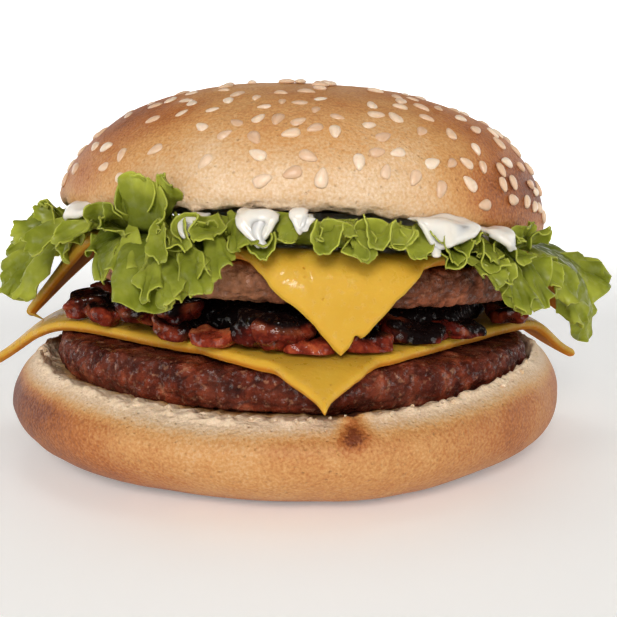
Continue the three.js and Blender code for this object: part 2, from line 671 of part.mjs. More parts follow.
// The bacon heap is thicker on the left, so what lies on it leans further to the right.
const upperStack = new THREE.Group();
upperStack.rotation.y = UPPER_TILT;
upperStack.add(piece("bacon", baconGeometry(), rasher, 0));
const upperPatty = piece("upper_patty", pattyGeometry(UPPER_PATTY), beef, upperPattyZ);
upperPatty.position.x = UPPER_PATTY.centreX;
upperStack.add(upperPatty);
upperStack.add(piece("upper_cheese", cheeseGeometry(UPPER_CORNERS), cheddar, upperCheeseZ));
for (const [name, leaf] of Object.entries(LEAVES)) {
  upperStack.add(piece(name, leafGeometry(leaf), leafGreen, saladZ));
}
const mayonnaiseZ = crownZ - GAP - MAYONNAISE.thickness;
upperStack.add(piece("mayonnaise", mayonnaiseGeometry(), sauce, mayonnaiseZ));
const crown = piece("top_bun", crownGeometry(), crust, crownZ);
crown.position.x = CROWN.centreX;
upperStack.add(crown);
burger.add(upperStack);

export default burger;
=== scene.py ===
"""The looks of a double cheeseburger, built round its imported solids.

Shapes are worked out in millimetres in the part's own frame and go into Blender in metres. The shape
functions follow the ones that made the solids, with finer steps and the relief that the solids leave
out. What leans lies in a stack that turns about the Y axis.
"""

import math
from types import SimpleNamespace as Sizes

import bpy
import numpy as np
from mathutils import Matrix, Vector


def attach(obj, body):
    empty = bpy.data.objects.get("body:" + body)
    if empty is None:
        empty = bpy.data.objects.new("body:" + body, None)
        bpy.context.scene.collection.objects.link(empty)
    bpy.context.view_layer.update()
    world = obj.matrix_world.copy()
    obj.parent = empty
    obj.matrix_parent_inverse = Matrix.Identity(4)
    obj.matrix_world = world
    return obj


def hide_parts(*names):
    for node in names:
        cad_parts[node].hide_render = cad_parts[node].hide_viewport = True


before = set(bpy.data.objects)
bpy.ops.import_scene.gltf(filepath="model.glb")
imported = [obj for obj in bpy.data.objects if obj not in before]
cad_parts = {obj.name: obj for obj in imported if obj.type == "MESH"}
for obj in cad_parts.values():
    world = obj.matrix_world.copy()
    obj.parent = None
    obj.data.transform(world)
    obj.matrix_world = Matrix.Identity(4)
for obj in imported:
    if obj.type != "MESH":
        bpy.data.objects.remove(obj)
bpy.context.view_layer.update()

# ---------- driving dimensions, millimetres
MM = 0.001
TAU = 2 * math.pi
GAP = 0.3  # between one layer of the stack and the next
LOWER_TILT = 0.02  # how far the beef and cheese on the heel lean, in radians
UPPER_TILT = 0.045  # and how far all that lies on them leans

HEEL = Sizes(radius=58, centre_x=-1.8, foot=40, foot_shift=1.8, widest_at=12, rim=21.5,
             rim_radius=52.2, front_sag=4.7, back_sag=2, seat=15.9, seat_radius=50.8,
             shoulder=math.radians(58), crumbs=34, grease=(11.5, 15.6))
LOWER_PATTY = Sizes(radius=51.8, thickness=8.7, seed=11, centre_x=-1.2, pale=0.0)
UPPER_PATTY = Sizes(radius=47.8, thickness=7.6, seed=23, centre_x=1.2, pale=0.55)
CHEESE = Sizes(side=99, thickness=2.1, sag=0.9)
BACON = Sizes(layer=6.6, core_radius=41, forward=3.5, pieces=19)
SALAD = Sizes(layer=5.9, leaf=0.9, inner=38, edge=46.5)
MAYONNAISE = Sizes(radius=36, thickness=1.7)
CROWN = Sizes(radius=50.6, height=25.7, widest_at=2.6, sag_right=5.2, sag_left=2, centre_x=-0.5,
              seeds=96, more_seeds=124, front_seeds=34, seed_gap=3)
CAMERA = Sizes(place=(2.5, -178, 53), looks_down=8.07, lens=46.68, sensor=36)

LOWER_PATTY.z = HEEL.seat + GAP
LOWER_CHEESE_Z = LOWER_PATTY.z + LOWER_PATTY.thickness + GAP
BACON.z = LOWER_CHEESE_Z + CHEESE.thickness + GAP
UPPER_PATTY.z = BACON.z + BACON.layer
UPPER_CHEESE_Z = UPPER_PATTY.z + UPPER_PATTY.thickness + GAP
SALAD.z = UPPER_CHEESE_Z + CHEESE.thickness + GAP
CROWN.z = SALAD.z + SALAD.layer
MAYONNAISE.z = CROWN.z - GAP - MAYONNAISE.thickness


# ---------- numbers and noise
WORD = 0xFFFFFFFF  # the largest number of 32 bits


def random_source(seed):
    """The seeded numbers between 0 and 1 that also place the solids' seeds and strips."""
    state = seed

    def draw():
        nonlocal state
        state = (state + 0x6D2B79F5) & WORD
        t = ((state ^ (state >> 15)) * (1 | state)) & WORD
        t = ((t + ((t ^ (t >> 7)) * (61 | t) & WORD)) & WORD) ^ t
        return (t ^ (t >> 14)) / (WORD + 1)

    return draw


def lerp(a, b, share):
    return a + (b - a) * share


def smoothstep(x, low, high):
    t = np.clip((x - low) / (high - low), 0, 1)
    return t * t * (3 - 2 * t)


def grid_value(cell, seed):
    """A fixed value between 0 and 1 for each point of a whole-number grid."""
    h = (cell[..., 0] * 374761393) & WORD
    h = h + ((cell[..., 1] * 668265263) & WORD) + ((cell[..., 2] * 1442695041) & WORD)
    h = (h + ((seed * 974634777) & WORD)) & WORD
    h = ((h ^ (h >> 13)) * 1274126177) & WORD
    return (h ^ (h >> 16)) / (WORD + 1)


def lumps(points, size, seed):
    """Smooth noise between 0 and 1 with lumps of about the given size."""
    p = points / size
    cell = np.floor(p).astype(np.int64)
    f = p - cell
    f = f * f * (3 - 2 * f)
    total = np.zeros(p.shape[:-1])
    for corner in range(8):
        bit = np.array([corner & 1, (corner >> 1) & 1, corner >> 2])
        weight = np.prod(np.where(bit, f, 1 - f), axis=-1)
        total += weight * grid_value(cell + bit, seed)
    return total


def drift(points, size, seed):
    """A noise like that for each of the three axes."""
    return np.stack([lumps(points, size, seed + axis) for axis in range(3)], axis=-1)


def grains(points, size, seed):
    """Packed grains of about the given size: (0 at a grain's middle to 1, 0 at its seam to 1)."""
    p = points / size
    cell = np.floor(p).astype(np.int64)
    nearest = np.full(p.shape[:-1], 9.0)
    second = nearest.copy()
    for k in range(27):
        near = cell + np.array([k % 3, k // 3 % 3, k // 9]) - 1
        jitter = np.stack([grid_value(near, seed + axis) for axis in range(3)], axis=-1)
        away = np.linalg.norm(near + 0.15 + 0.7 * jitter - p, axis=-1)
        second = np.minimum(second, np.maximum(nearest, away))
        nearest = np.minimum(nearest, away)
    return np.clip(nearest, 0, 1), np.clip((second - nearest) * 2.5, 0, 1)


def polar(r, angle, z):
    """Points at a radius, an angle and a height, all of one array shape."""
    r, angle, z = np.broadcast_arrays(r, angle, z)
    return np.stack([r * np.cos(angle), r * np.sin(angle), z], axis=-1)


def around(segments):
    """The angles of that many even steps once round, as one row."""
    return np.arange(segments)[None, :] * TAU / segments


def ball(rows, segments):
    """The rings of a ball of radius 1, from low to high, without its two poles."""
    rise = np.linspace(-1, 1, rows + 2)[1:-1, None] * math.pi / 2
    return polar(np.cos(rise), around(segments), np.sin(rise))


def disc_profile(start, face, side):
    """A disc's section from the middle of its underside to that of its top, row by row: the share of
    the way out to the side, and the turn of the side, from -90 degrees below to 90 above."""
    way = np.linspace(start, 1, face)
    share = np.concatenate([way, np.ones(side), np.linspace(1, start, face)])
    turn = np.concatenate([np.full(face, -1), np.linspace(-1, 1, side + 2)[1:-1], np.full(face, 1)])
    return share[:, None], turn[:, None] * math.pi / 2


def placed(points, tilt=0, x=0, z=0):
    """Points moved to their place in a stack, and leaned with it about the Y axis."""
    px, py, pz = points[..., 0] + x, points[..., 1], points[..., 2] + z
    c, s = math.cos(tilt), math.sin(tilt)
    return np.stack([px * c + pz * s, py, pz * c - px * s], axis=-1)


# ---------- mesh building
def grid_normals(points, closed=False):
    """Unit normals of a grid of points. A closed grid is rings, from low to high, and its normals point
    outward; those of an open grid stand to its axes 0 and 1 as Z stands to X and Y."""
    if closed:
        along = np.roll(points, -1, axis=1) - np.roll(points, 1, axis=1)
        across = np.gradient(points, axis=0)
        normal = np.cross(along, across)
    else:
        normal = np.cross(np.gradient(points, axis=0), np.gradient(points, axis=1))
    return normal / np.maximum(np.linalg.norm(normal, axis=-1, keepdims=True), 1e-9)


def swollen(points, amount, closed=False):
    """The grid of points moved out along its normals."""
    return points + grid_normals(points, closed) * np.asarray(amount)[..., None]


def ring_body(rings):
    """A closed body of stacked rings: its points and faces. Each end closes on its ring's middle."""
    count, segments = rings.shape[:2]
    points = np.vstack([rings[0].mean(0), rings.reshape(-1, 3), rings[-1].mean(0)])
    index = 1 + np.arange(count * segments).reshape(count, segments)
    turned = np.roll(index, -1, axis=1)
    quads = np.stack([index[:-1], turned[:-1], turned[1:], index[1:]], axis=-1).reshape(-1, 4)
    last = len(points) - 1
    faces = quads.tolist()
    faces += [[0, b, a] for a, b in zip(index[0].tolist(), turned[0].tolist())]
    faces += [[last, a, b] for a, b in zip(index[-1].tolist(), turned[-1].tolist())]
    return points, faces


def ring_values(values):
    """One value for each point of a ring_body, from a value for each point of its rings."""
    return np.concatenate([[values[0].mean()], values.ravel(), [values[-1].mean()]])


def sheet_body(lower, upper):
    """A closed sheet between two grids of points that share their shape: its points and faces. The
    upper grid is on the side that their normals point to, so that the faces look outward."""
    rows, columns = lower.shape[:2]
    low = np.arange(rows * columns).reshape(rows, columns)
    high = low + rows * columns
    top = [high[:-1, :-1], high[1:, :-1], high[1:, 1:], high[:-1, 1:]]
    bottom = [low[:-1, :-1], low[:-1, 1:], low[1:, 1:], low[1:, :-1]]
    faces = np.concatenate([np.stack(side, axis=-1).reshape(-1, 4) for side in (top, bottom)])
    rim = np.concatenate([low[:-1, 0], low[-1, :-1], low[:0:-1, -1], low[0, :0:-1]])
    after = np.roll(rim, -1)
    wall = np.stack([rim, after, after + rows * columns, rim + rows * columns], axis=-1)
    points = np.concatenate([lower.reshape(-1, 3), upper.reshape(-1, 3)])
    return points, np.concatenate([faces, wall]).tolist()


def joined(bodies):
    """Several (points, faces, values...) bodies as one."""
    points, faces, values, start = [], [], [], 0
    for body_points, body_faces, *body_values in bodies:
        points.append(body_points)
        faces += [[start + i for i in face] for face in body_faces]
        values.append(body_values)
        start += len(body_points)
    return np.concatenate(points), faces, *(np.concatenate(v) for v in zip(*values))


def piece(name, points, faces, look, node, slot, **values):
    """Adds a mesh, given in millimetres, that stands for a CAD node, with a value for each point."""
    mesh = bpy.data.meshes.new(name)
    mesh.from_pydata((points * MM).tolist(), [], faces)
    for key, numbers in values.items():
        attribute = mesh.attributes.new(key, "FLOAT", "POINT")
        attribute.data.foreach_set("value", np.asarray(numbers, np.float32).ravel())
    mesh.shade_smooth()
    mesh.materials.append(look)
    body = bpy.data.objects.new(name, mesh)
    bpy.context.scene.collection.objects.link(body)
    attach(body, "root")
    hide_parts(node)
    return body


# ---------- materials
def colour(code):
    """A colour's linear values, from its usual six-digit code."""
    shares = [int(code[k:k + 2], 16) / 255 for k in (0, 2, 4)]
    return (*(c / 12.92 if c <= 0.04045 else ((c + 0.055) / 1.055) ** 2.4 for c in shares), 1)


class Look:
    """A material. Its methods add a node each and give back that node's output."""

    def __init__(self, name, **sockets):
        self.material = bpy.data.materials.new(name)
        self.material.use_nodes = True
        self.tree = self.material.node_tree
        self.shader = self.tree.nodes["Principled BSDF"]
        for socket, value in {"Subsurface_Scale": MM, **sockets}.items():
            self.shader.inputs[socket.replace("_", " ")].default_value = value
        place = self.add("TexCoord", "Object")
        self.place = self.add("VectorMath", 0, {0: place, 1: (1 / MM,) * 3}, operation="MULTIPLY")

    def add(self, kind, output=0, inputs=None, **settings):
        node = self.tree.nodes.new("ShaderNode" + kind)
        for key, value in settings.items():
            setattr(node, key, value)
        for key, value in (inputs or {}).items():
            if isinstance(value, bpy.types.NodeSocket):
                self.tree.links.new(value, node.inputs[key])
            else:
                node.inputs[key].default_value = value
        return node.outputs[output]

    def value(self, name):
        return self.add("Attribute", "Fac", attribute_name=name)

    def noise(self, size, detail, distortion=0.0):
        inputs = {"Vector": self.place, "Scale": 1 / size, "Detail": detail, "Distortion": distortion}
        return self.add("TexNoise", "Fac", inputs)

    def cells(self, size, feature="F1"):
        inputs = {"Vector": self.place, "Scale": 1 / size}
        return self.add("TexVoronoi", "Distance", inputs, feature=feature)

    def fit(self, value, low, high, out_low=0.0, out_high=1.0):
        inputs = {0: value, 1: low, 2: high, 3: out_low, 4: out_high}
        return self.add("MapRange", 0, inputs)

    def math(self, operation, a, b):
        return self.add("Math", 0, {0: a, 1: b}, operation=operation)

    def mix(self, share, a, b):
        return self.add("Mix", 2, {0: share, 6: a, 7: b}, data_type="RGBA")

    def ramp(self, share, *stops):
        """A colour between the stops, each a place from 0 to 1 and a colour code."""
        output = self.add("ValToRGB", 0, {0: share})
        elements = output.node.color_ramp.elements
        while len(elements) < len(stops):
            elements.new(1)
        for element, (place, code) in zip(elements, stops):
            element.position = place
            element.color = colour(code)
        return output

    def bump(self, height, depth, below=None):
        """Relief of that depth in millimetres where the height runs from 0 to 1."""
        inputs = {"Height": height, "Distance": depth * MM, "Strength": 1.0}
        if below is not None:
            inputs["Normal"] = below
        return self.add("Bump", 0, inputs)

    def glints(self, noise, edge, rough, shine):
        """Wet spots where the noise is past its edge: the roughness and shine, dull to wet."""
        wet = self.fit(noise, *edge)
        return {"Roughness": self.fit(wet, 0, 1, *rough),
                "Specular_IOR_Level": self.fit(wet, 0, 1, *shine)}

    def done(self, **sockets):
        """Links outputs to the shader's sockets and gives back the material."""
        for socket, output in sockets.items():
            self.tree.links.new(output, self.shader.inputs[socket.replace("_", " ")])
        return self.material


def crust_look():
    """Bread: a value bake runs from 0 on pale crumb to 1 on the brownest crust, and also carries painted
    shade; crumb is 1 where torn.
    """
    look = Look("bun_bread", Subsurface_Weight=0.1, Subsurface_Radius=(2.0, 1.0, 0.5),
                Specular_IOR_Level=0.35)
    mottle = look.fit(look.noise(9, 4), 0.3, 0.7, -0.07, 0.07)
    freckle = look.fit(look.noise(0.5, 2), 0.3, 0.7, -0.11, 0.11)
    bake = look.math("ADD", look.value("bake"), look.math("ADD", mottle, freckle))
    base = look.ramp(bake, (0.0, "f0d6b8"), (0.14, "dec2a2"), (0.3, "d3ae84"), (0.5, "c8945a"),
                     (0.75, "ab6630"), (1.0, "6e3314"))
    pores = look.fit(look.cells(1.3), 0.0, 0.22)
    # Darker in the pores: painted shade in the pits.
    base = look.mix(look.fit(pores, 0, 1, 0.2, 0.0), base, colour("a8703f"))
    crumb = look.value("crumb")
    skin = look.bump(look.noise(0.6, 3), 0.24)
    skin = look.bump(look.noise(1.5, 2), 0.25, skin)
    skin = look.bump(pores, 0.2, skin)
    open_crumb = look.math("MULTIPLY", look.cells(1.5, "SMOOTH_F1"), crumb)
    skin = look.bump(open_crumb, 0.5, skin)
    rough = look.fit(crumb, 0, 1, 0.52, 0.9)
    return look.done(Base_Color=base, Normal=skin, Roughness=rough)


def seed_look():
    """Sesame: a value tone runs from 0 on the darkest seed to 1 on the palest."""
    look = Look("sesame", Roughness=0.3, Subsurface_Weight=0.3,
                Subsurface_Radius=(1.0, 0.7, 0.4))
    base = look.ramp(look.value("tone"), (0.0, "cfa888"), (0.5, "dfc2a6"), (1.0, "ecd8c2"))
    streak = look.noise(0.5, 2)
    base = look.mix(look.fit(streak, 0.35, 0.75, 0.0, 0.25), base, colour("c79a68"))
    return look.done(Base_Color=base, Normal=look.bump(streak, 0.05))


def beef_look():
    """Griddled minced beef: a value seam is high in the gaps between grains, where it paints shade, and
    pale where it is pink.
    """
    look = Look("beef_patty", Subsurface_Weight=0.08,
                Subsurface_Radius=(1.2, 0.4, 0.25))
    tone = look.fit(look.noise(4.5, 5, 0.3), 0.3, 0.72)
    base = look.ramp(tone, (0.0, "350f07"), (0.4, "571f10"), (0.7, "78321c"), (1.0, "a3583a"))
    grey = look.fit(look.noise(11, 3), 0.5, 0.75)
    base = look.mix(grey, base, colour("6c3626"))
    pale = look.math("MULTIPLY", look.value("pale"), look.fit(tone, 0, 1, 0.5, 1))
    # Paler where the value pale is high: pink beef, and painted light at the upper patty's left.
    base = look.mix(pale, base, colour("cf9068"))
    base = look.mix(look.fit(look.noise(1.1, 2), 0.6, 0.7, 0, 0.45), base, colour("b08062"))
    # Near black in the gaps between grains: painted shade.
    base = look.mix(look.value("seam"), base, colour("1c0a06"))
    fine = look.noise(0.5, 4)
    skin = look.bump(look.noise(2.2, 3, 0.6), 0.5)
    skin = look.bump(fine, 0.3, skin)
    wet = look.glints(look.noise(0.9, 3), (0.54, 0.62), (0.6, 0.18), (0.12, 0.7))
    return look.done(Base_Color=base, Normal=skin, **wet)


def cheese_look():
    """Sliced cheddar: a value under is above 0 on the slice's underside, which is painted darker as shade.
    """
    look = Look("cheddar", Subsurface_Weight=0.4,
                Subsurface_Radius=(2.2, 1.1, 0.3))
    tone = look.fit(look.noise(16, 3), 0.3, 0.7)
    base = look.ramp(tone, (0.0, "c6972a"), (1.0, "d0a63c"))
    dull = look.fit(look.noise(2.6, 4), 0.55, 0.8, 0.0, 0.25)
    base = look.mix(dull, base, colour("dcb54c"))
    pits = look.fit(look.cells(2.3), 0.02, 0.12)
    specks = look.fit(look.noise(3.1, 3), 0.5, 0.66)
    pits = look.math("MAXIMUM", pits, look.math("SUBTRACT", 1.0, specks))
    # Darker in some of the pits: painted shade in the dents.
    base = look.mix(look.fit(pits, 0, 1, 0.45, 0), base, colour("a8661c"))
    under = look.value("under")
    # A darker orange on the underside: painted shade.
    base = look.mix(under, base, colour("b8701a"))
    skin = look.bump(look.noise(5, 2), 0.35)
    skin = look.bump(look.noise(0.8, 3), 0.06, skin)
    skin = look.bump(pits, 0.18, skin)
    wet = look.glints(look.noise(1.2, 3), (0.56, 0.64), (0.48, 0.24), (0.12, 0.5))
    wet["Roughness"] = look.math("MAXIMUM", wet["Roughness"], under)
    return look.done(Base_Color=base, Normal=skin, **wet)


def bacon_look():
    """Fried bacon: a value red is 1 on a bright piece, fat along a streak of fat, char where burnt."""
    look = Look("bacon_rashers", Subsurface_Weight=0.12,
                Subsurface_Radius=(2.0, 0.5, 0.25))
    tone = look.fit(look.noise(1.9, 4, 0.5), 0.3, 0.7)
    lean = look.ramp(tone, (0.0, "2a0806"), (0.5, "54150d"), (1.0, "7d2515"))
    bright = look.ramp(tone, (0.0, "5a1a10"), (0.5, "8a3420"), (1.0, "b25832"))
    lean = look.mix(look.value("red"), lean, bright)
    fat = look.fit(look.noise(2, 2), 0.3, 0.7)
    fat = look.mix(fat, colour("8c3a20"), colour("b97048"))
    base = look.mix(look.value("fat"), lean, fat)
    base = look.mix(look.value("char"), base, colour("0d0404"))
    skin = look.bump(look.noise(1.6, 4, 0.4), 0.6)
    skin = look.bump(look.noise(0.5, 2), 0.12, skin)
    wet = look.glints(look.noise(1.1, 2), (0.55, 0.61), (0.6, 0.14), (0.05, 0.8))
    return look.done(Base_Color=base, Normal=skin, **wet)


def lettuce_look():
    """Lettuce: a value out runs from 0 inside the burger to 1 at the leaf's margin; the leaf is darker
    where out is low, as painted shade.
    """
    look = Look("lettuce_leaf", Subsurface_Weight=0.4,
                Subsurface_Radius=(1.4, 1.6, 0.4))
    out = look.value("out")
    tone = look.fit(look.noise(7, 3), 0.3, 0.7)
    green = look.mix(tone, colour("626a17"), colour("a0a53f"))
    # Darker towards the root, deeper inside the burger: painted shade.
    base = look.mix(look.fit(out, 0.3, 0.95), colour("4c5714"), green)
    base = look.mix(look.fit(out, 0.99, 0.999, 0.0, 0.25), base, colour("c8ca66"))
    skin = look.bump(look.noise(3.2, 2), 0.5)
    wet = look.glints(look.noise(1.8, 2), (0.48, 0.62), (0.65, 0.34), (0.06, 0.34))
    return look.done(Base_Color=base, Normal=skin, **wet)


def mayonnaise_look():
    """Mayonnaise: glossy and almost white."""
    look = Look("white_mayonnaise", Roughness=0.22, Specular_IOR_Level=0.55, Subsurface_Weight=0.5,
                Subsurface_Radius=(1.5, 1.2, 0.9))
    tint = look.mix(look.noise(8, 2), colour("e6e1d8"), colour("dcd4c8"))
    return look.done(Base_Color=tint, Normal=look.bump(look.noise(3, 2), 0.25))


# ---------- the bun
def heel_rim(angle):
    """Height of the heel's cut edge: the filling weighs it down at the front."""
    front, back = np.maximum(0, -np.sin(angle)), np.maximum(0, np.sin(angle))
    return HEEL.rim - HEEL.front_sag * front ** 2 - HEEL.back_sag * back ** 2


def heel():
    """The lower half of the bun: a foot, a browned side, a torn wall and the cut face under the beef."""
    segments, foot, side, wall, face = 560, 6, 60, 7, 12
    angle = around(segments)
    wobble = 1 + 0.012 * np.sin(2 * angle + 0.6) + 0.008 * np.sin(5 * angle + 2)
    foot_r = HEEL.foot * np.linspace(0.08, 0.94, foot)[:, None] + 0 * angle
    turn = np.linspace(-math.pi / 2, HEEL.shoulder, side)[:, None]
    up = (heel_rim(angle) - HEEL.widest_at) / math.sin(HEEL.shoulder)
    side_r = lerp(np.where(turn < 0, HEEL.foot, HEEL.rim_radius - 6), HEEL.radius, np.cos(turn)) + 0 * angle
    side_z = HEEL.widest_at + np.sin(turn) * np.where(turn < 0, HEEL.widest_at, up)
    down = np.linspace(0, 1, wall + 2)[1:-1, None]
    wall_r = lerp(side_r[-1:], HEEL.seat_radius, down)
    face_r = HEEL.seat_radius * np.linspace(1, 0.03, face)[:, None] + 0 * angle
    # Round the beef's foot the crumb stands higher, and higher still where the rim does.
    raised = smoothstep(face_r, 44, 50) * np.minimum(1.8, 0.9 * (heel_rim(angle) - HEEL.seat))
    face_z = HEEL.seat - LOWER_TILT * face_r * np.cos(angle) + raised
    wall_z = lerp(side_z[-1:], face_z[:1], down)
    zones = foot_r, side_r, wall_r, face_r

    def over_zones(*values):
        return np.concatenate([value + 0 * zone for value, zone in zip(values, zones)])

    z = over_zones(0, side_z, wall_z, face_z)
    rings = polar(np.concatenate(zones) * wobble, angle, z)
    rings[..., 0] += HEEL.foot_shift * np.maximum(0, 1 - z / HEEL.widest_at)

    torn = over_zones(0, smoothstep(turn, 0.8, 1.0), 1, 1)
    relief = 0.7 * (lumps(rings, 17, 3) - 0.6) + 0.3 * (lumps(rings, 5, 4) - 0.5)
    relief -= torn * (1.1 * lumps(rings, 1.2, 5) + 0.7 * lumps(rings, 3.5, 6) - 1.0)
    relief *= smoothstep(z, 0.0, 3.0)
    rings = swollen(rings, relief, closed=True)

    # Browner at both sides, partly crust and partly painted shade; along the foot; and in a painted shadow
    # at the front.
    brown = 0.44 + 0.3 * (lumps(rings, 26, 8) - 0.5)
    brown = brown + 0.62 * smoothstep(-np.cos(angle + 0.5), -0.35, 0.6)
    brown = brown + 0.4 * np.maximum(0, np.cos(angle + 0.3)) ** 2
    brown = brown + 0.26 * smoothstep(-z, -4.5, 0) + 0.3 * smoothstep(-z, -1.2, -0.2)
    mark_x, mark_z = HEEL.grease
    # A painted shadow on the front of the heel, darkest at its middle.
    grease = np.exp(-((rings[..., 0] - mark_x) / 2.4) ** 2 - ((z - mark_z) / 2.2) ** 2)
    grease = grease * (rings[..., 1] < 0)
    pale = over_zones(0, smoothstep(turn, 0.35, 0.95), 1, 1)
    # Darker on the cut face under the beef's edge: painted shade.
    shade_under_beef = over_zones(0, 0, 0, smoothstep(-face_r, -48.5, -45))
    bake = lerp(brown + 0.6 * grease, 0.05 + 0.8 * grease, pale) + shade_under_beef
    points, faces = ring_body(placed(rings, x=HEEL.centre_x))
    piece("bun_heel", points, faces, BREAD, "bottom_bun", "bun",
          bake=ring_values(bake), crumb=ring_values(torn))


def crumbs():
    """Crumbs along the front of the heel's cut edge."""
    random = random_source(19)
    whole = ball(7, 10)
    near, far = 51.4, 53.6
    bodies = []
    for k in range(HEEL.crumbs):
        angle = math.radians(lerp(-175, -5, random()))
        size, out = lerp(0.25, 0.6, random() ** 2), lerp(near, far, random())
        lump = whole * size * (0.6 + 0.8 * lumps(whole, 0.8, 20 + k))[..., None]
        points, faces = ring_body(lump + polar(out, angle, heel_rim(angle) + 0.1 - 0.5 * (out - near)))
        bodies.append((points, faces, np.full(len(points), 0.3 * random())))
    points, faces, bake = joined(bodies)
    piece("bun_crumbs", placed(points, x=HEEL.centre_x), faces, BREAD, "bottom_bun", "bun",
          bake=bake, crumb=np.ones(len(points)))


def crown_sag(r, angle):
    """How far the crown's rim has sagged: most at the right, where the filling is lower."""
    x = r * np.cos(angle)
    sag = CROWN.sag_right * smoothstep(x, 5, 60) + CROWN.sag_left * smoothstep(-x, 5, 55)
    return sag * np.clip((r - 40) / 10, 0, 1)


def crown_point(turn, angle):
    """The crown's surface: turn is -90 degrees at the cut face, 0 at the widest, 90 at the top."""
    lower = turn < 0
    r = np.where(lower, CROWN.radius - 2 + 2 * np.cos(turn), CROWN.radius * np.cos(turn))
    z = CROWN.widest_at + np.sin(turn) * np.where(lower, CROWN.widest_at, CROWN.height - CROWN.widest_at)
    left_shoulder = 0.05 * np.maximum(0, -np.cos(angle)) * np.maximum(0, np.sin(2 * turn))
    wobble = 1 + 0.01 * np.sin(2 * angle + 1) + 0.008 * np.sin(3 * angle + 4) - left_shoulder
    sag = crown_sag(r, angle) * (1 - z / CROWN.height)
    return polar(r * wobble, angle, z - sag)


def crown():
    """The upper half of the bun: its cut face, its torn edge and its dome."""
    segments, flat, face, edge, dome = 450, 40, 6, 14, 80
    angle = around(segments)
    cut = polar(flat * np.linspace(0.05, 1, face)[:, None], angle, 0.0)
    rising = np.linspace(0, math.pi / 2, dome)[1:-1]
    turn = np.concatenate([np.linspace(-math.pi / 2, 0, edge), rising])[:, None]
    rings = np.concatenate([cut, crown_point(turn, angle)])
    turn = np.concatenate([np.full((face, 1), -math.pi / 2), turn]) + 0 * angle

    torn = smoothstep(-turn, 0.2, 1.0)
    relief = 0.9 * (lumps(rings, 19, 41) - 0.5) + 0.35 * (lumps(rings, 6, 42) - 0.5)
    relief += 0.12 * (lumps(rings, 2, 43) - 0.5)
    relief += torn * (1.1 * lumps(rings, 1.8, 44) - 0.75)
    rings = swollen(rings, relief, closed=True)

    # Browner towards the top and at both sides, the sides partly crust and partly painted shade; the left
    # and the low right are the darkest, the low right from painted shade.
    height = rings[..., 2] / CROWN.height
    bake = 0.25 + 0.33 * smoothstep(height, 0.15, 0.75) + 0.08 * smoothstep(height, 0.6, 1.0)
    bake = bake + 0.26 * (lumps(rings, 24, 46) - 0.5) * smoothstep(height, 0.2, 0.5)
    bake = bake + 0.17 * smoothstep(-rings[..., 0], 10, 32) * smoothstep(height, 0.3, 0.7) - 0.1 * torn
    # Painted shade on the low right.
    bake = bake + 0.3 * smoothstep(rings[..., 0], 12, 36) * smoothstep(-height, -0.5, -0.2)
    # Browner at both sides, partly crust and partly painted shade where the light falls off.
    side_on = 0.48 * smoothstep(-np.cos(angle), 0.3, 0.95) + 0.46 * smoothstep(np.cos(angle), 0.3, 0.9)
    bake = bake + side_on * smoothstep(height, -0.25, 0.2) * (1 - smoothstep(height, 0.4, 0.9))
    points, faces = ring_body(placed(rings, UPPER_TILT, CROWN.centre_x, CROWN.z))
    piece("bun_crown", points, faces, BREAD, "top_bun", "bun",
          bake=ring_values(bake), crumb=ring_values(torn))


def spiral_seeds():
    """Sesame seeds in a golden-angle spiral over the dome, each shifted and turned at random."""
    random = random_source(7)
    places = []
    for k in range(CROWN.seeds):
        share = (k + 0.5) / CROWN.seeds
        turn = math.pi / 2 - share ** 0.6 * math.radians(84) + (random() - 0.5) * 0.09
        angle = k * math.pi * (3 - math.sqrt(5)) + (random() - 0.5) * 0.5
        spin = random() * TAU
        places.append((turn, angle, spin, lerp(2.8, 3.5, random())))
    return places


def scattered_seeds(places, wanted, seed, highest, middle, spread):
    """More seeds between the others, none on top of another: from the highest turn down to the rim and
    within a spread about a middle angle, all in degrees."""
    random = random_source(seed)
    taken = [crown_point(turn, angle) for turn, angle, *_ in places]
    found = []
    while len(found) < wanted:
        turn = math.radians(lerp(highest, 4, random() ** 0.6))
        angle = math.radians(middle + spread * (random() - 0.5))
        point = crown_point(turn, angle)
        if min(np.linalg.norm(point - other) for other in taken) > CROWN.seed_gap:
            taken.append(point)
            found.append((turn, angle, random() * TAU, lerp(2.5, 3.3, random())))
    return found


def seed_body(turn, angle, spin, length, tone):
    """One seed: a flat drop, pointed at one end, lying half in the crust."""
    rows, segments, step = 8, 12, 1e-3
    thick, raised = 0.52, 0.2
    tip = np.linspace(-1, 1, rows + 2)[1:-1, None] * math.pi / 2
    ring = around(segments)
    x = np.sin(tip) + 0 * ring
    y, z = np.cos(tip) * np.cos(ring), np.cos(tip) * np.sin(ring)
    x, y, z = x * 0.52 * length, y * 0.32 * length * (1 - 0.38 * x), z * thick
    x, y = x * math.cos(spin) - y * math.sin(spin), x * math.sin(spin) + y * math.cos(spin)
    point = crown_point(turn, angle)
    up = crown_point(turn + step, angle) - point
    along = crown_point(turn, angle + step) - point
    out = np.cross(along, up)
    along, out = along / np.linalg.norm(along), out / np.linalg.norm(out)
    up = np.cross(out, along)
    rings = point + x[..., None] * along + y[..., None] * up + (z[..., None] + raised) * out
    points, faces = ring_body(rings)
    return points, faces, np.full(len(points), tone)


def seeds():
    """All the sesame seeds, each a little darker or paler than the next."""
    tones = random_source(5)
    places = spiral_seeds()
    places += scattered_seeds(places, CROWN.more_seeds, seed=71, highest=90, middle=0, spread=360)
    places += scattered_seeds(places, CROWN.front_seeds, seed=73, highest=60, middle=-66, spread=100)
    points, faces, tone = joined(seed_body(*place, tones()) for place in places)
    piece("sesame_seeds", placed(points, UPPER_TILT, CROWN.centre_x, CROWN.z), faces, SESAME,
          "top_bun", "bun", tone=tone)


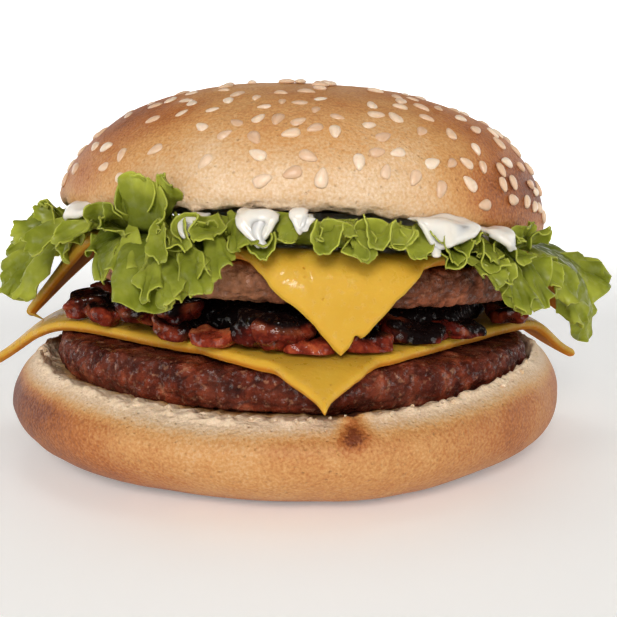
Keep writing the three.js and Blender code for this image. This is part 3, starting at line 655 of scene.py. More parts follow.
# ---------- the patties
def patty(name, sizes, tilt):
    """A disc of minced beef with a rounded side, its crags cut in from the outline."""
    corner = sizes.thickness / 2
    angle = around(500)
    share, turn = disc_profile(0.04, face=10, side=26)
    side_on = np.maximum(np.cos(turn), 0) ** 0.7
    r = (sizes.radius - corner) * share + corner * side_on
    z = corner + corner * np.sin(turn)
    rings = polar(r, angle, z)
    rough = lumps(rings, 9, sizes.seed) * 1.6 + lumps(rings, 4.5, sizes.seed + 1) * 1.2
    uneven = 1 - 0.008 * (1 + np.sin(2 * angle + sizes.seed)) - 0.005 * (1 + np.sin(5 * angle))
    inward = uneven - rough * side_on / sizes.radius
    dent = np.clip((r - 20) / 20, 0, 1) * 0.8 * lumps(rings, 7, sizes.seed + 2)
    rings[..., 2] -= dent * np.sin(turn)
    rings[..., :2] *= inward[..., None]

    warped = rings + 1.1 * drift(rings, 2.6, sizes.seed + 5)
    coarse, coarse_seam = grains(warped, 3.1, sizes.seed + 9)
    fine, fine_seam = grains(warped, 1.3, sizes.seed + 12)
    relief = -0.45 * coarse ** 2 - 0.35 * fine ** 2 + 0.28
    gap = np.clip(1 - coarse_seam * 2.2, 0, 1) * 0.7 + np.clip(1 - fine_seam * 2, 0, 1) * 0.35
    rings = swollen(rings, relief - 0.25 * gap, closed=True)
    points, faces = ring_body(placed(rings, tilt, sizes.centre_x, sizes.z))
    # Paler at the upper patty's left: painted light.
    pale = sizes.pale * (0.45 + 1.5 * smoothstep(-points[:, 0], 0, 12))
    piece(name + "_beef", points, faces, BEEF, name, "beef",
          seam=ring_values(np.clip(gap, 0, 1) * 0.7), pale=pale)


# ---------- the cheese
# How each corner hangs: the distance from the middle where it starts to bend, the length of that
# bend, the angle it reaches, how far its tip turns out again, in degrees, and how far it is pulled
# to the left of straight out. Its nicks lie at places from -1 to 1 across and along the slice, with a
# width and a depth; where the depth is negative, the edge bulges.
LOWER_CORNERS = Sizes(
    name="lower_cheese", spin=5.5, shift=(-2.2, 8.2), z=LOWER_CHEESE_Z, tilt=LOWER_TILT, seed=61,
    hangs={-90: (59.7, 6, 32, 0, 0), 0: (51.5, 7, 40, 16, -6),
           90: (43, 12, 46, 10, 0), 180: (47, 12, 42, 10, 5)},
    nicks=[(-1, -1, 0.9, -0.9), (-1, -0.78, 2.2, 0.8), (-0.7, -1, 3, 0.7), (-1, -0.42, 3, 0.9)],
)
UPPER_CORNERS = Sizes(
    name="upper_cheese", spin=6.5, shift=(-0.4, 7.6), z=UPPER_CHEESE_Z, tilt=UPPER_TILT, seed=67,
    hangs={-90: (53.6, 6, 82, 0, 0), 0: (48, 6, 56, 8, -13),
           90: (41, 8, 62, 10, 3), 180: (45, 5, 56, 4, 6)},
    nicks=[(-0.935, -1, 0.6, 1.5), (-0.88, -1, 1.4, -0.4), (-0.6, -1, 1.2, 0.5), (-1, -0.7, 3, -0.5),
           (-1, 1, 1.6, 1.0), (-0.96, 1, 1.0, -0.8)],
)


def hang(length, over, slope, flare, tip):
    """Where cheese that hangs over an edge gets to, at lengths beyond the fold: out and down."""
    steps = 24
    out, down = np.zeros_like(length), np.zeros_like(length)
    for k in range(steps):
        at = length * (k + 0.5) / steps
        angle = slope * smoothstep(at, 0, over) - flare * smoothstep(at, tip * 0.5, tip)
        out += np.cos(angle) * length / steps
        down += np.sin(angle) * length / steps
    return out, down


def draped(corners, across, along):
    """The underside of a draped square slice, at distances from its middle across and along."""
    half = CHEESE.side / math.sqrt(2)
    spin = math.radians(corners.spin)
    c, s = math.cos(math.pi / 4 + spin), math.sin(math.pi / 4 + spin)
    x, y = across * c - along * s, across * s + along * c
    z = -CHEESE.sag * smoothstep(np.hypot(x + corners.shift[0], y + corners.shift[1]), 46, 56)
    for degrees, (fold, over, slope, flare, pull) in corners.hangs.items():
        dx, dy = math.cos(math.radians(degrees) + spin), math.sin(math.radians(degrees) + spin)
        reach, aside = x * dx + y * dy, -x * dy + y * dx
        bend = fold - 0.3 * aside ** 2 / fold
        past = np.maximum(reach - bend, 0)
        out, down = hang(past, over, math.radians(slope), math.radians(flare), half - fold)
        hung = past > 0
        aside = aside + pull * (past / (half - fold)) ** 2
        x = np.where(hung, dx * (bend + out) - dy * aside, x)
        y = np.where(hung, dy * (bend + out) + dx * aside, y)
        z = z - down
    return np.stack([x + corners.shift[0], y + corners.shift[1], z], axis=-1)


def slice_lines(count):
    """Places from -1 to 1 across a slice, closer together at its edges."""
    inside = np.linspace(-0.985, 0.985, count)
    edge = np.array([0.0, 0.0012, 0.0035, 0.0065, 0.0105])
    return np.concatenate([edge - 1, inside, (1 - edge)[::-1]])


def cheese(corners):
    """A slice with rounded, slightly uneven edges."""
    lines = slice_lines(108)
    across, along = np.meshgrid(lines, lines, indexing="ij")
    flat = np.stack([across, along, 0 * across], axis=-1) * CHEESE.side / 2
    nibble = 0.5 * (lumps(flat, 7, corners.seed) - 0.5)
    nibble = nibble + 0.22 * (lumps(flat, 1.6, corners.seed + 1) - 0.5)
    near = np.maximum(np.abs(across), np.abs(along))
    for u, v, width, depth in corners.nicks:
        away = np.hypot(across - u, along - v) * CHEESE.side / 2
        nibble = nibble - depth * np.exp(-((away / width) ** 2))
    pull = 1 - 0.006 + nibble * smoothstep(near, 0.9, 1.0) / (CHEESE.side / 2)
    under = draped(corners, across * pull * CHEESE.side / 2, along * pull * CHEESE.side / 2)
    normal = grid_normals(under)
    from_edge = (1 - near) * CHEESE.side / 2
    round_off = np.sqrt(np.clip(1 - (1 - np.clip(from_edge / 0.9, 0, 1)) ** 2, 0.1, 1))
    ripple = 0.28 * (lumps(flat, 11, corners.seed + 2) - 0.5)
    ripple = ripple + 0.1 * (lumps(flat, 4, corners.seed + 3) - 0.5)
    dimple, _ = grains(flat, 9, corners.seed + 4)
    ripple = ripple - 0.22 * np.clip(1 - dimple * 6, 0, 1)
    middle = under + normal * (CHEESE.thickness / 2)
    half = CHEESE.thickness / 2 * round_off
    upper = middle + normal * (half + ripple * round_off)[..., None]
    lower = middle - normal * (half - 0.5 * ripple * round_off)[..., None]
    points, faces = sheet_body(lower, upper)
    piece(corners.name.replace("cheese", "cheddar"), placed(points, corners.tilt, z=corners.z), faces,
          CHEDDAR, corners.name, "cheese", under=np.repeat([0.9, 0.0], across.size))


# ---------- the bacon
# Pieces that show at the front: angle, distance from the axis, height above the cheese, length, width,
# thickness and yaw; and how red each one is, from black to the colour of fresh paprika.
BACON_AT_FRONT = [
    (-160, 46.5, 2.3, 13, 9, 4.5, 84), (-145, 46, 1.7, 8, 6.5, 3.5, 80),
    (-133, 43.5, 3.6, 11, 8, 4.4, 92), (-120, 44, 4.4, 9, 8, 4, 70),
    (-119, 46, 1.6, 8, 6, 3.4, 100), (-108, 48, 1.5, 8, 6.5, 3.2, 88), (-99.5, 47, 3.4, 7, 8, 5.4, 70),
    (-94, 47.5, 3, 9.5, 9, 6.2, 96), (-88.5, 48, 1.2, 9.5, 8, 3, 80), (-78, 47, 2.2, 12, 7.5, 4.2, 92),
    (-62, 42.5, 2.6, 13, 8, 4.4, 84), (-46, 42, 2.2, 12, 8, 4, 100),
]
BACON_REDNESS = [0.5, 0.6, 0.1, 0.1, 0.3, 0.8, 0.05, 0.25, 0.9, 0.45, 0.08, 0.05]


def turned(points, axis, angle):
    """Points turned about an axis, 0 for X, 1 for Y or 2 for Z."""
    a, b = [(1, 2), (2, 0), (0, 1)][axis]
    result = points.copy()
    result[..., a] = points[..., a] * math.cos(angle) - points[..., b] * math.sin(angle)
    result[..., b] = points[..., a] * math.sin(angle) + points[..., b] * math.cos(angle)
    return result


def squeezed(points):
    """Bacon pressed into the wedge of room between the lower cheese and the upper patty."""
    clear = 0.1
    floor = BACON.z + clear - points[..., 0] * math.tan(LOWER_TILT - UPPER_TILT)
    roof = UPPER_PATTY.z - GAP - clear
    result = points.copy()
    result[..., 2] = np.clip(points[..., 2], floor, roof)
    return result


def bacon_piece(angle, out, up, length, width, thickness, yaw, pitch, roll, seed, red):
    """One chopped piece: a lumpy slab with round ends that curls along its length."""
    way = ball(34, 40)
    size = np.array([length, width, thickness])
    blunt = 1 / np.sum(np.abs(way) ** 3, axis=-1) ** (1 / 3)
    lump = blunt * (0.84 + 0.3 * lumps(way * size, 5, seed))
    rings = way * lump[..., None] * size / 2
    rings[..., 2] += 0.9 * (2 * way[..., 0] ** 2 - 1) * min(1, length / 12)
    ridged = lumps(rings * [1, 1, 2.2], 2.6, seed + 1) - 0.5
    rings = swollen(rings, 1.5 * ridged + 0.5 * (lumps(rings, 1.1, seed + 2) - 0.5), closed=True)
    streak = smoothstep(lumps(rings * [0.3, 0.6, 1.9], 2.6, seed + 3), 0.5, 0.66)
    burnt = lumps(rings, 4.2, seed + 4) + 0.35 * smoothstep(way[..., 2], 0, 0.9) + 0.35 * (0.5 - red)
    char = smoothstep(burnt, 0.5, 0.85)
    rings = turned(turned(turned(rings, 0, roll), 1, pitch), 2, math.radians(angle + yaw))
    points, faces = ring_body(squeezed(rings + polar(out, math.radians(angle), BACON.z + up)))
    fat = streak * (0.3 + 0.7 * red)
    return points, faces, ring_values(fat), ring_values(char), np.full(len(points), red)


def bacon_core():
    """The heap inside the ring of pieces: a lumpy slab that fills the wedge, painted black all over as
    shade in the gaps between the pieces.
    """
    segments, across = 160, 12
    share = np.concatenate([np.linspace(0.05, 0.97, across), [1.0], np.linspace(0.97, 0.05, across)])
    # Its faces start far below the wedge's floor and far above its roof, and are squeezed back to them.
    height = np.repeat([-9, 3, 20], [across, 1, across])
    rings = polar(BACON.core_radius * share[:, None], around(segments), BACON.z + height[:, None])
    rings = squeezed(rings)
    uneven = 0.9 + 0.1 * lumps(rings, 7, 91)
    rings[..., :2] *= uneven[..., None]
    rings[..., 1] -= BACON.forward / 2
    points, faces = ring_body(rings)
    # Char 1 all over: painted shade that shows in the gaps between the pieces.
    return points, faces, np.zeros(len(points)), np.ones(len(points)), np.zeros(len(points))


def bacon():
    """The heap: its core, the pieces that show at the front, and pieces at random round the rest."""
    random = random_source(31)
    first, arc, behind = -24, 232, BACON.pieces - len(BACON_AT_FRONT)
    bodies = [bacon_core()]
    for k in range(BACON.pieces):
        if k < len(BACON_AT_FRONT):
            shape, red = BACON_AT_FRONT[k], BACON_REDNESS[k]
        else:
            angle = first + (k - len(BACON_AT_FRONT)) * arc / behind + random() * 8
            shape = (angle, lerp(42, 45, random()), lerp(1.8, 4.2, random()), lerp(11, 17, random()),
                     lerp(7, 9, random()), lerp(3, 5, random()), lerp(60, 120, random()))
            red = 0.2 + 0.15 * (k % 5)
        pitch, roll = (random() - 0.5) * 0.4, (random() - 0.5) * 0.5
        bodies.append(bacon_piece(*shape, pitch, roll, 100 + 7 * k, red))
    points, faces, fat, char, red = joined(bodies)
    piece("bacon_pieces", placed(points, UPPER_TILT), faces, RASHER, "bacon", "bacon",
          fat=fat, char=char, red=red)


# ---------- the lettuce
# Each leaf by its sheets. A sheet has the angles that its root spans, the root's height, how many
# frills its margin has, how far they swing, the seed of its noise and the points that the margin
# passes: angle, distance from the axis and height above the cheese.
LEAVES = {
    "lettuce_left": {
        "low": Sizes(span=(-206, -158), root=0.2, frills=5, swing=1.0, seed=3, margin=[
            (-208, 51, 1), (-203, 54, -2), (-198, 59, -6.5), (-192, 62.5, -10), (-187, 65, -10.5),
            (-183, 65.5, -9.5), (-178, 65.5, -13), (-172, 62.5, -16), (-166, 59.5, -15.5),
            (-161, 57.5, -13), (-158, 55.5, -8), (-156, 53, -2)]),
        "top": Sizes(span=(-172, -143), root=0.7, frills=4, swing=1.0, seed=4, margin=[
            (-175, 51, 1.5), (-166, 54.5, 3), (-158, 56, 3.5), (-152, 55.5, 5), (-149.5, 55.5, 1),
            (-147.5, 54.5, -4), (-144.5, 53.5, -5.5), (-142.5, 52.5, -2), (-142, 51, 1.5)]),
    },
    "lettuce_front_left": {
        "top": Sizes(span=(-140, -107), root=0.7, frills=7, swing=1.3, seed=5, margin=[
            (-139, 51, 0.5), (-134.5, 53.5, 4), (-130.5, 54.5, 5), (-128, 55.5, 1),
            (-124.5, 54, 0.5), (-125, 51.8, 4), (-126.5, 53.6, 8.5), (-122.5, 53.8, 10.8),
            (-118, 53.6, 9), (-115.5, 54, 5), (-116, 55, 1), (-112.5, 55.5, -0.5), (-110, 54, 3.5),
            (-107, 53.5, 3.5), (-106, 52, 1)]),
        "low": Sizes(span=(-140, -107), root=0.2, frills=6, swing=1.4, seed=6, margin=[
            (-140, 51, -1), (-133.5, 54.5, -3), (-130, 55.5, -7), (-126, 55.5, -7),
            (-124.5, 53.5, -3), (-122, 56.5, -5), (-119.5, 58, -10.2), (-115, 58, -11.2),
            (-109.5, 58.5, -9), (-108.5, 57, -5.5), (-110.5, 54.5, -3), (-108, 56.5, -5.5),
            (-105, 56, -5), (-105.5, 53, 0)]),
        "inner": Sizes(span=(-156, -104), root=0.5, frills=7, swing=0.6, seed=7, margin=[
            (-156, 49, 4.0), (-146, 49.4, 4.6), (-138, 49, 4.2), (-128, 49.4, 4.8), (-118, 49, 4.4),
            (-104, 49.4, 4.8)]),
    },
    "lettuce_front": {
        "top": Sizes(span=(-104, -73), root=0.5, frills=5.5, swing=3.1, seed=8, margin=[
            (-104, 52.5, 2.5), (-96, 53.5, 3.2), (-89, 54, 2.6), (-80, 54.5, 2), (-72, 53.5, 3)]),
        "inner": Sizes(span=(-104, -66), root=0.5, frills=6, swing=0.6, seed=9, margin=[
            (-104, 49.5, 4.6), (-97, 49.8, 5.0), (-90, 49.5, 4.4), (-82, 49.8, 5.0),
            (-74, 49.5, 4.6), (-66, 49.5, 4.2)]),
    },
    "lettuce_front_right": {
        "inner": Sizes(span=(-66, -40), root=0.5, frills=4, swing=0.6, seed=10, margin=[
            (-66, 49.5, 3.6), (-60, 50, 3.8), (-53, 50, 3.2), (-46, 50, 3.0), (-40, 50, 2.4)]),
        "top": Sizes(span=(-66, -37), root=0.7, frills=6, swing=1.2, seed=13, margin=[
            (-68, 52.5, 1.5), (-67, 55.5, -1), (-64.5, 56.5, 0), (-62.5, 54, 3.5), (-59.5, 53, 0.5),
            (-57, 56, -2), (-53, 55.5, 1), (-48, 55, 3), (-44, 54, 4.5), (-40, 54, 5),
            (-37, 53.5, 2)]),
        "low": Sizes(span=(-63, -37), root=0.2, frills=6, swing=1.2, seed=14, margin=[
            (-61, 53.5, -1.5), (-58.5, 56, -3), (-55.5, 57.5, -5), (-52.5, 55, -3.5), (-53, 57, -8),
            (-49, 58.5, -9.5), (-45.5, 58, -8.5), (-42, 57.5, -6), (-39.5, 57, -2.5),
            (-36.5, 54, -1)]),
    },
    "lettuce_right": {
        "top": Sizes(span=(-33, 14), root=0.5, frills=4, swing=0.9, seed=21, margin=[
            (-34, 52.5, -1), (-27, 54, -3), (-21.5, 55, -8), (-18, 57, -14), (-14.5, 58.5, -18.5),
            (-10, 61.5, -18.8), (-8.5, 62.5, -15), (-9.5, 62, -11.5), (-6.5, 65, -9.5),
            (-4, 66.3, -6.5), (0, 65, -3.5), (5, 62, -5), (10, 59.5, -4), (14, 56.5, 0.5)]),
    },
    "lettuce_back_right": {
        "top": Sizes(span=(18, 82), root=0.6, frills=11, swing=1.7, seed=34, margin=[
            (17, 53, 0), (30, 61, -2.5), (42, 57, 3), (54, 62.5, -4), (68, 59, 2), (82, 55, 0)]),
    },
    "lettuce_back_left": {
        "top": Sizes(span=(86, 150), root=0.6, frills=11, swing=1.7, seed=55, margin=[
            (85, 55, 1), (98, 62, -3.5), (110, 58, 2), (122, 61.5, -3), (136, 58, 0), (150, 53, 1)]),
    },
}


def spline(points, at):
    """A smooth line through evenly spaced points, at shares from 0 to 1 of its way."""
    before, after = 2 * points[0] - points[1], 2 * points[-1] - points[-2]
    padded = np.concatenate([[before], points, [after]])
    place = np.clip(at, 0, 1) * (len(points) - 1)
    k = np.minimum(place.astype(int), len(points) - 2)
    t = (place - k)[..., None]
    a, b, c, d = (padded[k + n] for n in range(4))
    return b + 0.5 * t * (c - a + t * (2 * a - 5 * b + 4 * c - d + t * (3 * b - a - 3 * c + d)))


def smooth_leaf(sizes, u, share):
    """A leaf before it frills, from its root (share 0) to its margin (share 1), as a grid."""
    angle = np.radians(lerp(sizes.span[0], sizes.span[1], u))
    level = sizes.root - 0.1 * crown_sag(50, angle)
    end = spline(np.array(sizes.margin, float), u)
    tip = polar(end[..., 1], np.radians(end[..., 0]), end[..., 2])
    root = polar(SALAD.edge, angle, level)
    far = np.linalg.norm(tip - root, axis=-1)
    bend_height = level + 2 * (sizes.root - 0.5) - 0.2 * crown_sag(50, angle)
    bend = polar(SALAD.edge + 0.55 * far, angle, bend_height)
    w = share[None, :, None]
    root, bend, tip = root[:, None], bend[:, None], tip[:, None]
    return (1 - w) ** 2 * root + 2 * w * (1 - w) * bend + w ** 2 * tip


def leaf(node, sheet, sizes):
    """A sheet of a leaf: it leaves the bun level, bends to its margin and frills on the way."""
    columns, hidden_rows, rows = int(sizes.frills * 20) + 16, 3, 30
    u = np.linspace(0, 1, columns + 1)
    share = np.linspace(0, 1, rows + 1)
    open_part = smooth_leaf(sizes, u, share)
    angle = np.radians(lerp(sizes.span[0], sizes.span[1], u))[:, None]
    inner_r = lerp(SALAD.inner, SALAD.edge, np.linspace(0, 1, hidden_rows + 1)[None, :-1])
    hidden_part = polar(inner_r, angle, sizes.root - 0.1 * crown_sag(50, angle))
    middle = np.concatenate([hidden_part, open_part], axis=1)
    out = np.concatenate([np.zeros(hidden_rows), 0.1 + 0.9 * share])[None, :] + 0 * angle
    loose = np.concatenate([np.zeros(hidden_rows), np.maximum(0, share - 0.3) / 0.7])[None, :] + 0 * angle

    normal = grid_normals(middle)
    along = np.gradient(middle, axis=0)
    along = along / np.linalg.norm(along, axis=-1, keepdims=True)
    phase = ((u + 0.03 * np.sin(9 * u + sizes.seed)) * sizes.frills * TAU + sizes.seed)[:, None]
    swing = sizes.swing * (0.9 + 0.35 * np.sin(0.37 * phase + sizes.seed)) * loose ** 1.8
    fine = 0.4 * loose ** 4 * np.sin(2.7 * phase + 2 * np.sin(1.3 * phase))
    middle = middle + normal * (swing * np.sin(phase) + fine)[..., None]
    middle = middle - along * (0.5 * swing * np.sin(2 * phase))[..., None]

    blister = 2.2 * (lumps(middle, 6, sizes.seed + 2) - 0.5)
    blister = blister + 0.9 * (lumps(middle, 2.6, sizes.seed + 3) - 0.5)
    middle = swollen(middle, blister * smoothstep(out, 0.1, 0.5) * 0.8 - SALAD.leaf / 2)
    thin = lerp(SALAD.leaf / 2, 0.12, smoothstep(out, 0.3, 1.0))
    normal = grid_normals(middle) * thin[..., None]
    points, faces = sheet_body(middle - normal, middle + normal)
    piece(f"{node}_{sheet}", placed(points, UPPER_TILT, z=SALAD.z), faces, LETTUCE, node, "lettuce",
          out=np.tile(out.ravel(), 2))


# The lobes that stand off the sheets, each a fan that opens from its foot to its tip: where both are
# (angle, distance from the axis and height above the cheese), the lobe's width, how far it curls up in
# degrees, how hollow it is, how many ruffles its margin has and how far they swing.
LOBES = {
    "lettuce_left": [
        ((-150, 49, 3), (-148, 60, -4), 7, -15, 0.35, 1.5, 0.6),
        ((-170, 50, 2), (-174, 64.5, -8), 10, -10, -0.25, 2.5, 1.0),
        ((-164, 51, 0), (-166, 64, -14), 10, -25, 0.25, 2.5, 1.0),
        ((-158, 51, -1), (-158, 60.5, -14), 8, -25, -0.2, 2, 0.9),
        ((-163, 50, 2), (-165, 61.5, -2.5), 8, -10, 0.25, 2, 0.8),
        ((-140, 50, 2.5), (-141, 57.5, -2), 5, -10, 0.4, 1.5, 0.6),
        ((-158, 50, 1), (-160, 57, 4), 6, 10, 0.4, 1.5, 0.6),
        ((-184, 51, 1), (-186, 64, -7), 11, -20, 0.25, 2.5, 1.0),
        ((-196, 51, 1), (-198, 60, -6), 11, -20, -0.25, 2.5, 1.0),
    ],
    "lettuce_front_left": [
        ((-129, 50, 3), (-127, 55, 5.2), 5, 20, 0.5, 1.5, 0.6),
        ((-126, 50, 3), (-121, 57.5, -6.1), 8, -20, -0.25, 2.5, 1.0),
        ((-125, 49, 2.7), (-120, 54, 10.5), 7, 25, 0.45, 1.5, 0.7),
        ((-120, 49, 3.0), (-114, 55.5, 10.3), 5.5, 30, -0.5, 1.5, 0.7),
        ((-119, 50, 4.0), (-113, 58, -2.9), 4.5, -20, 0.8, 1.5, 0.6),
        ((-118, 51, 0.4), (-114, 59.5, -8.8), 6, -20, 0.35, 2, 0.9),
        ((-115, 51, 0.2), (-110, 60, -9.4), 7, -15, -0.3, 2, 0.9),
        ((-113, 51, 0.7), (-105, 59.5, -7.4), 6.5, -20, 0.35, 2, 0.9),
        ((-116, 50, 3.2), (-109, 57, -0.8), 6, 25, 0.5, 1.5, 0.8),
        ((-108, 50, 3.5), (-103, 58, -4.5), 6, -15, -0.3, 2, 0.9),
        ((-107, 49, 5.2), (-107, 56.5, 0.4), 6.5, 30, 0.5, 1.5, 0.8),
        ((-105, 49, 5.5), (-99, 56.5, 0.4), 6.5, 20, -0.4, 2, 0.9),
    ],
    "lettuce_front": [
        ((-98, 49, 4.9), (-97, 56.5, -1.9), 5.5, 60, 0.7, 1, 0.5),
        ((-93, 49.5, 5.4), (-93, 55.5, 1.6), 4.5, -30, -0.3, 1, 0.4),
        ((-86, 49.5, 5.4), (-87, 56.5, 0.2), 5.5, 50, 0.9, 1, 0.4),
        ((-82, 49.5, 5.0), (-83, 55.5, 2.0), 3.6, 20, 0.5, 1, 0.4),
        ((-79, 50, 4.1), (-81, 56.5, -1.1), 5.5, -20, 0.4, 1.5, 0.5),
        ((-77, 49.5, 5.2), (-79, 56.5, 1.3), 6, 50, 0.8, 1, 0.5),
        ((-72, 49.5, 5.0), (-75, 56, 1.7), 4.6, 40, 0.7, 1, 0.5),
        ((-69, 50, 4.8), (-72, 57, -0.7), 4.6, 20, 0.8, 1.5, 0.5),
        ((-65, 49.5, 4.8), (-68, 56, 2.5), 4, 40, 0.6, 1, 0.4),
    ],
    "lettuce_front_right": [
        ((-61, 50, 4.2), (-66, 57, -1.1), 6.6, 40, 0.9, 1, 0.5),
        ((-57, 50, 4.0), (-61, 56, 2.3), 3, 40, 0.9, 1, 0.4),
        ((-53, 50, 3.0), (-57, 57.5, -2.3), 6.5, 20, 0.5, 1.5, 0.8),
        ((-51, 51, 0.5), (-55, 58, -4.6), 5.5, 40, 0.7, 1.5, 0.6),
        ((-48, 51, 0.5), (-52, 59.5, -9.2), 7, -20, 0.3, 2.5, 0.9),
        ((-43, 51, 1.0), (-46, 59.5, -8.5), 6.5, -20, -0.3, 2.5, 0.9),
        ((-47, 51, 1.5), (-50, 58, -0.9), 5, 30, 0.5, 1.5, 0.7),
        ((-38, 51, 1.5), (-41, 56, 4.5), 6, 10, 0.4, 2, 0.7),
        ((-36, 51, 0), (-38, 58, -6), 6, -15, 0.4, 2, 0.8),
    ],
    "lettuce_right": [
        ((-26, 51, -1), (-24, 58, -10), 8, -20, 0.3, 2, 0.9),
        ((-18, 51, -2), (-17, 60, -15), 9, -25, -0.2, 2.5, 0.9),
        ((-6, 51, -2), (-5, 65, -7), 10, -10, 0.2, 2, 0.9),
    ],
}


def lobe(foot, tip, width, curl, hollow, ruffles, swing, seed):
    """One lobe of a leaf: its points, faces and how near each point is to the margin."""
    foot, tip = (polar(r, math.radians(angle), z) for angle, r, z in (foot, tip))
    length = np.linalg.norm(tip - foot)
    ahead = (tip - foot) / length
    outward = tip[:2] / np.hypot(*tip[:2])
    side = np.cross(ahead, [outward[0], outward[1] - 0.9, 0.3])
    side = side / np.linalg.norm(side)
    facing = np.cross(side, ahead)

    across, out = np.meshgrid(np.linspace(-1, 1, 41), np.linspace(0.04, 1, 19), indexing="ij")
    spread = math.asin(min(0.98, width / (1.5 * length)))
    teeth = 0.025 * np.sin(5 * math.pi * across + seed) + 0.012 * np.sin(11 * math.pi * across + 2 * seed)
    reach = length * (1 - 0.42 * across ** 2 + teeth * out ** 4)
    turn = math.radians(curl)
    run = (np.sin(turn * (out - 0.5)) + math.sin(turn / 2)) / (2 * math.sin(turn / 2))
    lift = (math.cos(turn / 2) - np.cos(turn * (out - 0.5))) / (2 * math.sin(turn / 2)) * length
    phase = ruffles * math.pi * across + seed
    wave = swing * out ** 4
    lift = lift + hollow * across ** 2 * out * width / 2 + wave * np.sin(phase)
    aside = reach * run * np.sin(across * spread) - 0.5 * wave * np.sin(2 * phase)
    straight = reach * run * np.cos(across * spread)
    middle = foot + straight[..., None] * ahead + aside[..., None] * side + lift[..., None] * facing

    blister = 1.3 * (lumps(middle, 3.8, seed) - 0.5) + 0.5 * (lumps(middle, 1.8, seed + 1) - 0.5)
    middle = swollen(middle, blister * smoothstep(out, 0.1, 0.5))
    thin = lerp(0.35, 0.12, smoothstep(out, 0.3, 1.0))
    normal = grid_normals(middle) * thin[..., None]
    points, faces = sheet_body(middle - normal, middle + normal)
    from_margin = np.minimum((1 - out) * length, (1 - np.abs(across)) * out * width / 2)
    return points, faces, np.tile((1 - 0.9 * from_margin / length).ravel(), 2)


def lobes(node):
    """All the lobes of one leaf."""
    bodies = [lobe(*shape, 11 * k + len(node)) for k, shape in enumerate(LOBES[node])]
    points, faces, out = joined(bodies)
    piece(node + "_lobes", placed(points, UPPER_TILT, z=SALAD.z), faces, LETTUCE, node, "lettuce",
          out=out)


# ---------- the mayonnaise
# Where the sauce squeezes out under the crown: angle and half width in degrees, and how far out.
SQUEEZED = [(-143, 6, 14), (-97.5, 2.4, 12), (-89.5, 2, 11), (-63, 5.5, 15), (-51, 3.5, 14),
            (70, 8, 8), (118, 10, 8), (165, 8, 8)]


def mayonnaise():
    """The layer of sauce under the crown, with its tongues."""
    half = MAYONNAISE.thickness / 2
    angle = around(320)
    edge = MAYONNAISE.radius + 1.2 * np.sin(3 * angle) + 0.8 * np.sin(7 * angle + 1)
    for middle, width, out in SQUEEZED:
        away = angle - math.radians(middle)
        away = np.arctan2(np.sin(away), np.cos(away))
        edge = edge + out * np.exp(-((away / math.radians(width)) ** 2))
    share, turn = disc_profile(0.05, face=6, side=9)
    r = (edge - half) * share + half * np.cos(turn)
    rings = polar(r, angle, half + half * np.sin(turn) - crown_sag(r + 2, angle))
    rings = swollen(rings, 0.25 * (lumps(rings, 5, 81) - 0.5) * smoothstep(r, 38, 44), closed=True)
    points, faces = ring_body(rings)
    piece("mayonnaise_sauce", placed(points, UPPER_TILT, z=MAYONNAISE.z), faces, SAUCE,
          "mayonnaise", "mayonnaise")


# Sauce that pours out over the lettuce, by the angle of its middle, half the angle that it spans, how
# far it hangs from the axis and the heights above the cheese that it spans; and its drips: the angle of
# each, its width and the height that it reaches down to.
POURS = [
    (-144, 6.5, 53, 4.8, 3.4, [(-146.5, 1.6, 2.2)]),
    (-111, 1.8, 53.5, 4.4, 2.6, [(-110.6, 1.3, 1.6)]),
    (-98.5, 3.8, 54.4, 5.6, 3.6, [(-97.6, 2.0, 0.1)]),
    (-91, 1.4, 54.4, 6.2, 5.0, [(-90.4, 1.9, 2.9)]),
    (-64.5, 6.2, 54.6, 5.8, 3.2, [(-68.0, 1.9, -0.4), (-63.4, 2.4, 2.6)]),
    (-52.6, 2.6, 55.2, 4.4, 3.0, [(-51.2, 2.2, 0.9)]),
]


def pour(middle, spread, out, top, bottom, drips, seed):
    """A thin flow of sauce that comes from under the bun, bends down and narrows into its drips."""
    ledge, depth = 4, 0.5
    across, share = np.meshgrid(np.linspace(-1, 1, 46), np.linspace(0, 1, 30), indexing="ij")
    angle = middle + spread * across
    drop = top - bottom
    for place, width, end in drips:
        drop = drop + 0.75 * (bottom - end) * np.exp(-(((angle - place) / (1.1 * width)) ** 2))
    drop = drop * (1 - across ** 2)
    way = share * (ledge + drop)
    bend = np.clip(way / ledge, 0, 1) * math.pi / 2
    r = out - ledge + ledge * np.sin(bend) - 1.4 * across ** 4
    r = r + 0.5 * np.exp(-(((way - ledge - drop + 0.6) / 0.8) ** 2))
    z = top - 1.2 * (1 - np.cos(bend)) - np.maximum(0, way - ledge)
    sheet = polar(r, np.radians(angle), z)
    sheet = sheet + 1.2 * (drift(sheet, 2.8, seed) - 0.5)
    rounded = np.sqrt(np.clip((1 - across ** 4) * (1 - share ** 6), 0.01, 1))
    normal = grid_normals(sheet) * (depth * rounded)[..., None]
    return sheet_body(sheet - normal, sheet + normal)


def drip(angle, width, bottom, out, top, seed):
    """A drip that hangs from the flow and swells at its lower end."""
    rows, segments = 24, 18
    share = (1 - np.cos(np.linspace(0.03, 0.97, rows) * math.pi))[:, None] / 2
    ring = around(segments)
    half = width / 2 * (0.7 + 1.1 * (1 - share) ** 3 + 0.4 * share ** 3) * np.sqrt(1 - (2 * share - 1) ** 8)
    z = lerp(top, bottom, share) + 0 * ring
    level = np.stack([0 * z, 0 * z, z], axis=-1)
    deep = width * (0.12 + 0.22 * share) * np.sqrt(1 - (2 * share - 1) ** 8)
    rings = np.stack([out + 0.3 * share + deep * np.cos(ring), half * np.sin(ring), z], axis=-1)
    rings[..., 1] += 1.4 * (lumps(level, 2.6, seed) - 0.5)
    return ring_body(turned(rings, 2, math.radians(angle)))


